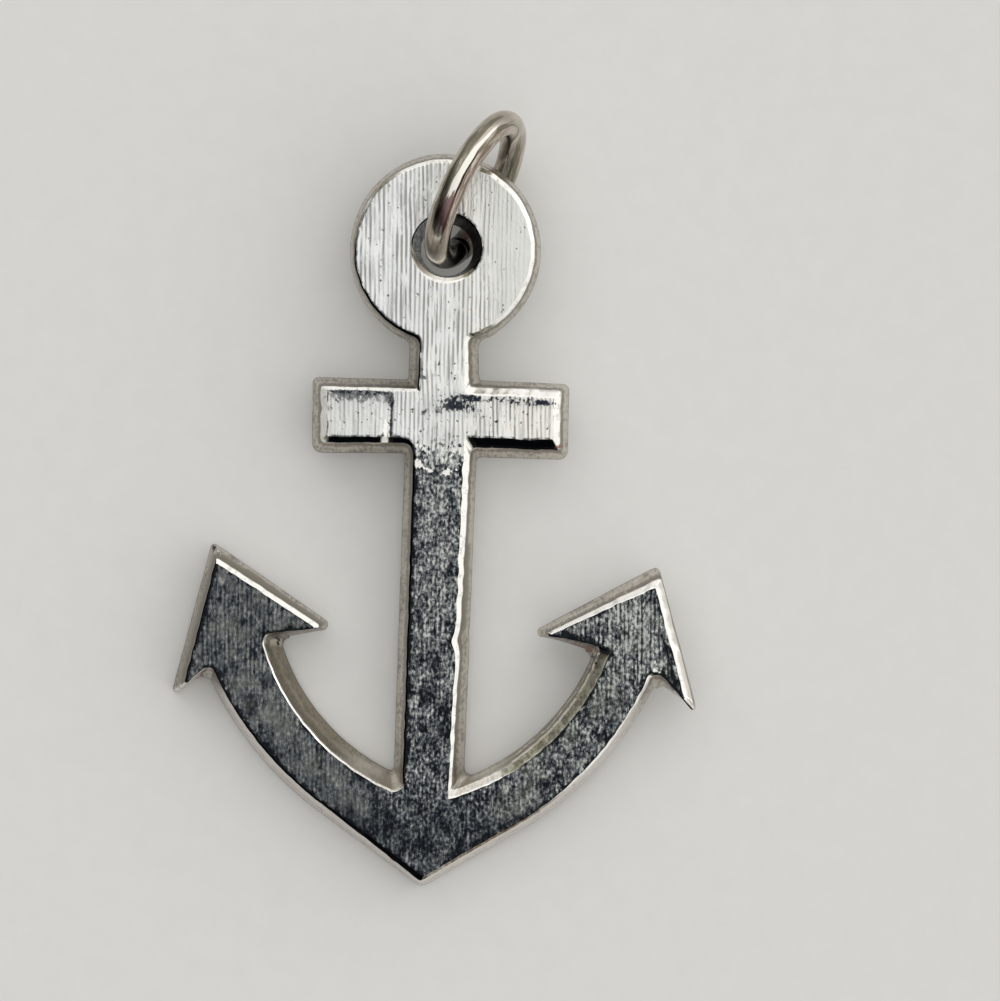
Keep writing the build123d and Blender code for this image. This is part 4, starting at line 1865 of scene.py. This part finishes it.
def store(mesh: bpy.types.Mesh, name: str, values: np.ndarray) -> None:
    """Stores a number or a vector for each point of a mesh.

    Args:
        mesh: the mesh.
        name: the name that a finish reads.
        values: one value, or three, for each point.
    """
    kind, key = ("FLOAT", "value") if values.ndim == 1 else ("FLOAT_VECTOR", "vector")
    layer = mesh.attributes.new(name, kind, "POINT")
    layer.data.foreach_set(key, values.astype(np.float32).ravel())


def finished(mesh: bpy.types.Mesh, material: bpy.types.Material, crease: float) -> bpy.types.Object:
    """Makes an object of a mesh, smooth but for its creases.

    Args:
        mesh: the mesh, in the row's frame.
        material: its finish.
        crease: the angle over which an edge stays sharp, in degrees.

    Returns:
        The object, in the scene.
    """
    mesh.validate()
    mesh.shade_smooth()
    mesh.set_sharp_from_angle(angle=math.radians(crease))
    mesh.materials.append(material)
    piece = bpy.data.objects.new(mesh.name, mesh)
    bpy.context.scene.collection.objects.link(piece)
    return piece


# Where the wire's painted reflections lie: the plum patch over the hole, the stripes along the front, and
# the dark spots at the top.
RING_REFLECTION_PLACES = {
    "plum": Touch(0.55, 27.15, 0.95, 0.85),
    "front": Touch(0.9, 28.6, 2.4, 1.9),
    "upper": Touch(2.1, 30.3, 1.0, 0.9),
}
IN_THE_HOLE = Touch(0.0, 26.0, 1.6, 1.6)


@dataclass
class JumpRing:
    """The loose wire ring, closed but for a hairline cut.

    Args:
        lay: how the casting's drawing lies in the row's frame.
        body: the body that it rides on.
        wire: the wire's diameter.
        outer: the ring's outer diameter.
        cut: the width of the cut.
        cut_angle: where the cut is, from the ring's upper end, in degrees.
        lengthwise: how many sections the wire has.
        around: how many points go round a section.
        round_end: how much narrower the wire is at its very ends.
        dark_from: under which height over the casting's back the wire in the hole is painted dark, as shade.
        dark_over: over how much height it does.
        swell: the unevenness of the wire.
    """

    lay: Lay
    body: str
    wire: float = 1.05
    outer: float = 7.0
    cut: float = 0.06
    cut_angle: float = 215.0
    lengthwise: int = 220
    around: int = 40
    round_end: float = 0.05
    dark_from: float = 1.75
    dark_over: float = 0.6
    swell: Swell = field(default_factory=lambda: Swell(11, 2.0, 8.0, 8, 0.008))

    def build(self, node: bpy.types.Object) -> bpy.types.Object:
        """Builds and dresses the ring.

        Args:
            node: the ring's solid, which says where it stands.

        Returns:
            The finished piece, on its body.
        """
        low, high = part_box("jump_ring")
        points, notes = self._skin(np.array((low + high) / 2) / MM, *self._axes(mesh_corners(node)))
        faces = self._faces(len(points))
        ends = points[: self.around], points[-self.around :]
        points = np.concatenate([points, [end.mean(0) for end in ends]])
        notes = np.concatenate([notes, notes[:1], notes[-self.around :][:1]])
        mesh = bpy.data.meshes.new("wire_jump_ring")
        mesh.from_pydata((points * MM).tolist(), [], faces)
        flat = points @ self.lay.turn - self.lay.shift
        store(mesh, "wire", notes)
        for name, stain in RING_REFLECTION_PLACES.items():
            store(mesh, name, stain.over(flat))
        # Painted shade: the wire darkens as it sinks into the hole.
        depth = np.clip((self.dark_from - flat[:, 2]) / self.dark_over, 0, 1)
        store(mesh, "sunk", IN_THE_HOLE.over(flat) * depth)
        piece = finished(mesh, PolishedWire().make(), crease=50.0)
        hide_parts("jump_ring")
        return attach(piece, self.body)

    def _skin(
        self, middle: np.ndarray, along: np.ndarray, rising: np.ndarray, normal: np.ndarray
    ) -> tuple[np.ndarray, np.ndarray]:
        """The wire's skin, one section after another.

        Args:
            middle: the ring's middle, in millimetres.
            along: its direction along the casting's back.
            rising: its direction through the casting's face.
            normal: its axis.

        Returns:
            The points, and for each how far along the wire it lies, how much it looks out of the face,
            and how far it lies across the wire, from -1 to 1.
        """
        radius, wire = (self.outer - self.wire) / 2, self.wire / 2
        half_cut = self.cut / 2 / radius
        start = math.radians(self.cut_angle) + half_cut
        turns = start + np.linspace(0, 1, self.lengthwise) * (2 * math.pi - 2 * half_cut)
        section = np.linspace(0, 2 * math.pi, self.around, endpoint=False)
        out = self.lay.turn[:, 2]
        rows, notes = [], []
        for i, turn in enumerate(turns):
            spoke = along * math.cos(turn) + rising * math.sin(turn)
            ahead = rising * math.cos(turn) - along * math.sin(turn)
            front = out - ahead * (ahead @ out)
            front = front / np.linalg.norm(front)
            from_end = min(i, self.lengthwise - 1 - i)
            size = wire - (self.round_end if from_end == 0 else 0.0)
            length = np.full(self.around, turn * radius)
            uneven = self.swell.over(np.stack([length, section * wire], 1))[:, None] * min(1.0, from_end / 4)
            around = np.outer(np.cos(section), spoke) + np.outer(np.sin(section), normal)
            rows.append(middle + spoke * radius + around * (size + uneven))
            notes.append(np.stack([length, around @ front, around @ np.cross(front, ahead)], 1))
        return np.concatenate(rows), np.concatenate(notes)

    def _axes(self, corners: np.ndarray) -> tuple[np.ndarray, np.ndarray, np.ndarray]:
        """Finds the ring's directions.

        Args:
            corners: the corners of its solid.

        Returns:
            Along the casting's back, up through its face, and the ring's own axis.
        """
        axis = np.linalg.svd(corners - corners.mean(0), full_matrices=False)[2][2]
        out, up = self.lay.turn[:, 2], self.lay.turn[:, 1]
        along = np.cross(axis, out)
        along = along / np.linalg.norm(along) * (1 if along @ up > 0 else -1)
        rising = out - axis * (axis @ out)
        rising = rising / np.linalg.norm(rising)
        return along, rising, np.cross(along, rising)

    def _faces(self, first_cap: int) -> list[tuple[int, ...]]:
        """The faces of the wire's skin and of its two cut ends.

        Args:
            first_cap: the number of the first end's middle. The second's comes next.

        Returns:
            The faces.
        """
        size = self.around
        last = (self.lengthwise - 1) * size
        following = [(j, (j + 1) % size) for j in range(size)]
        rings = range(0, last, size)
        faces = [(i + j, i + k, i + size + k, i + size + j) for i in rings for j, k in following]
        for j, k in following:
            faces.append((first_cap, k, j))
            faces.append((first_cap + 1, last + j, last + k))
        return faces


@dataclass
class Studio:
    """The pale floor, the soft lights and the camera, straight over the casting's face.

    Args:
        lay: how the casting's drawing lies in the row's frame.
        camera_height: how far the camera is from the face.
        picture_width: how much of the face's plane the picture shows, across.
        aim_out: the place in the picture's middle, across.
        aim_up: the same, up.
        picture_turn: the shank's turn in the picture, in degrees.
        floor_half: half the floor's width.
        floor_gap: how far the floor lies under what rests on it.
        sky: the places of the sky's tones, from its darkest side, and how bright each is.
        sky_reach: the whole range of the sky's light, from its darkest to its brightest side.
        overhead_dimming: how much darker the sky is straight above.
    """

    lay: Lay
    camera_height: float = 180.0
    picture_width: float = 40.51
    aim_out: float = 2.555
    aim_up: float = 15.89
    picture_turn: float = 1.845
    floor_half: float = 1500.0
    floor_gap: float = 0.02
    sky: tuple[Span, ...] = ((0.0, 0.05), (0.32, 0.14), (0.52, 0.75), (0.85, 1.03))
    sky_reach: float = 2.4
    overhead_dimming: float = 0.05

    def build(self) -> None:
        """Sets everything up."""
        self._floor()
        self._world()
        self._lamp("upper_left", (-160.0, 260.0, 330.0), 160.0, 0.06)
        self._lamp("right_strip", (330.0, 190.0, 60.0), 180.0, 0.10)
        self._camera()
        bpy.context.scene.view_settings.view_transform = "Standard"

    def _floor(self) -> None:
        """Lays the plain surface, a hair under what rests on it."""
        half, level = self.floor_half * MM, -self.floor_gap * MM
        corners = [(x * half, y * half, level) for x, y in ((-1, -1), (1, -1), (1, 1), (-1, 1))]
        mesh = bpy.data.meshes.new("floor")
        mesh.from_pydata(corners, [], [(0, 1, 2, 3)])
        mesh.materials.append(PalePaper().make())
        floor = bpy.data.objects.new("floor", mesh)
        bpy.context.scene.collection.objects.link(floor)

    def _world(self) -> None:
        """Makes the barely warm light all round, brighter from above, the right and the picture's top."""
        world = bpy.data.worlds.new("studio")
        world.use_nodes = True
        bpy.context.scene.world = world
        bench = Bench(world.node_tree)
        x, y, z = bench.split(bench.node("ShaderNodeTexCoord", {}, {}, "Generated"))
        stops = [(place, (level, level * 0.995, level * 0.975)) for place, level in self.sky]
        place = (x * 0.8 + y * 0.6 + z * 0.9 + 1.0) * (1 / self.sky_reach)
        colour = bench.node("ShaderNodeValToRGB", {"stops": stops}, {0: place}, "Color")
        strength = 1.0 - z.rise(0.80, 0.97) * self.overhead_dimming
        shader = bench.node("ShaderNodeBackground", {}, {"Color": colour, "Strength": strength})
        bench.ends_in("ShaderNodeOutputWorld", shader)

    @staticmethod
    def _lamp(name: str, place: tuple[float, float, float], size: float, power: float) -> None:
        """One square soft light, aimed at the pendant.

        Args:
            name: its name.
            place: where it stands, in millimetres.
            size: the length of its side.
            power: in watts.
        """
        light = bpy.data.lights.new(name, "AREA")
        light.shape = "SQUARE"
        light.size = size * MM
        light.energy = power
        lamp = bpy.data.objects.new(name, light)
        lamp.location = Vector(place) * MM
        lamp.rotation_euler = (-Vector(place)).to_track_quat("-Z", "Y").to_euler()
        bpy.context.scene.collection.objects.link(lamp)

    def _camera(self) -> None:
        """Stands the camera at the picture's distance, turn and framing."""
        turn = math.radians(self.picture_turn)
        across, up, out = (Vector(self.lay.turn[:, i]) for i in range(3))
        right = across * math.cos(turn) + up * math.sin(turn)
        top = up * math.cos(turn) - across * math.sin(turn)
        spot = (self.aim_out, self.aim_up, self.lay.thickness + self.camera_height)
        data = bpy.data.cameras.new("camera")
        data.sensor_fit = "HORIZONTAL"
        data.angle = 2 * math.atan(self.picture_width / 2 / self.camera_height)
        data.clip_start = 0.01
        camera = bpy.data.objects.new("camera", data)
        facing = Matrix((right, top, out)).transposed().to_4x4()
        camera.matrix_world = Matrix.Translation(Vector(self.lay.place(np.array(spot)))) @ facing
        bpy.context.scene.collection.objects.link(camera)
        bpy.context.scene.camera = camera


def main() -> None:
    """Dresses the pendant and sets up its studio."""
    logging.basicConfig(level=logging.INFO, format="%(message)s")
    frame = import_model()
    body = next(iter(frame["bodies"]))
    lay = read_lay(frame["nodes"]["anchor"])
    LOG.info("the casting is %.2f mm thick", lay.thickness)
    casting = Casting(lay, body).build()
    LOG.info("%s: %d faces", casting.name, len(casting.data.polygons))
    ring = JumpRing(lay, body).build(frame["nodes"]["jump_ring"])
    LOG.info("%s: %d faces", ring.name, len(ring.data.polygons))
    Studio(lay).build()


if __name__ == "__main__":
    main()
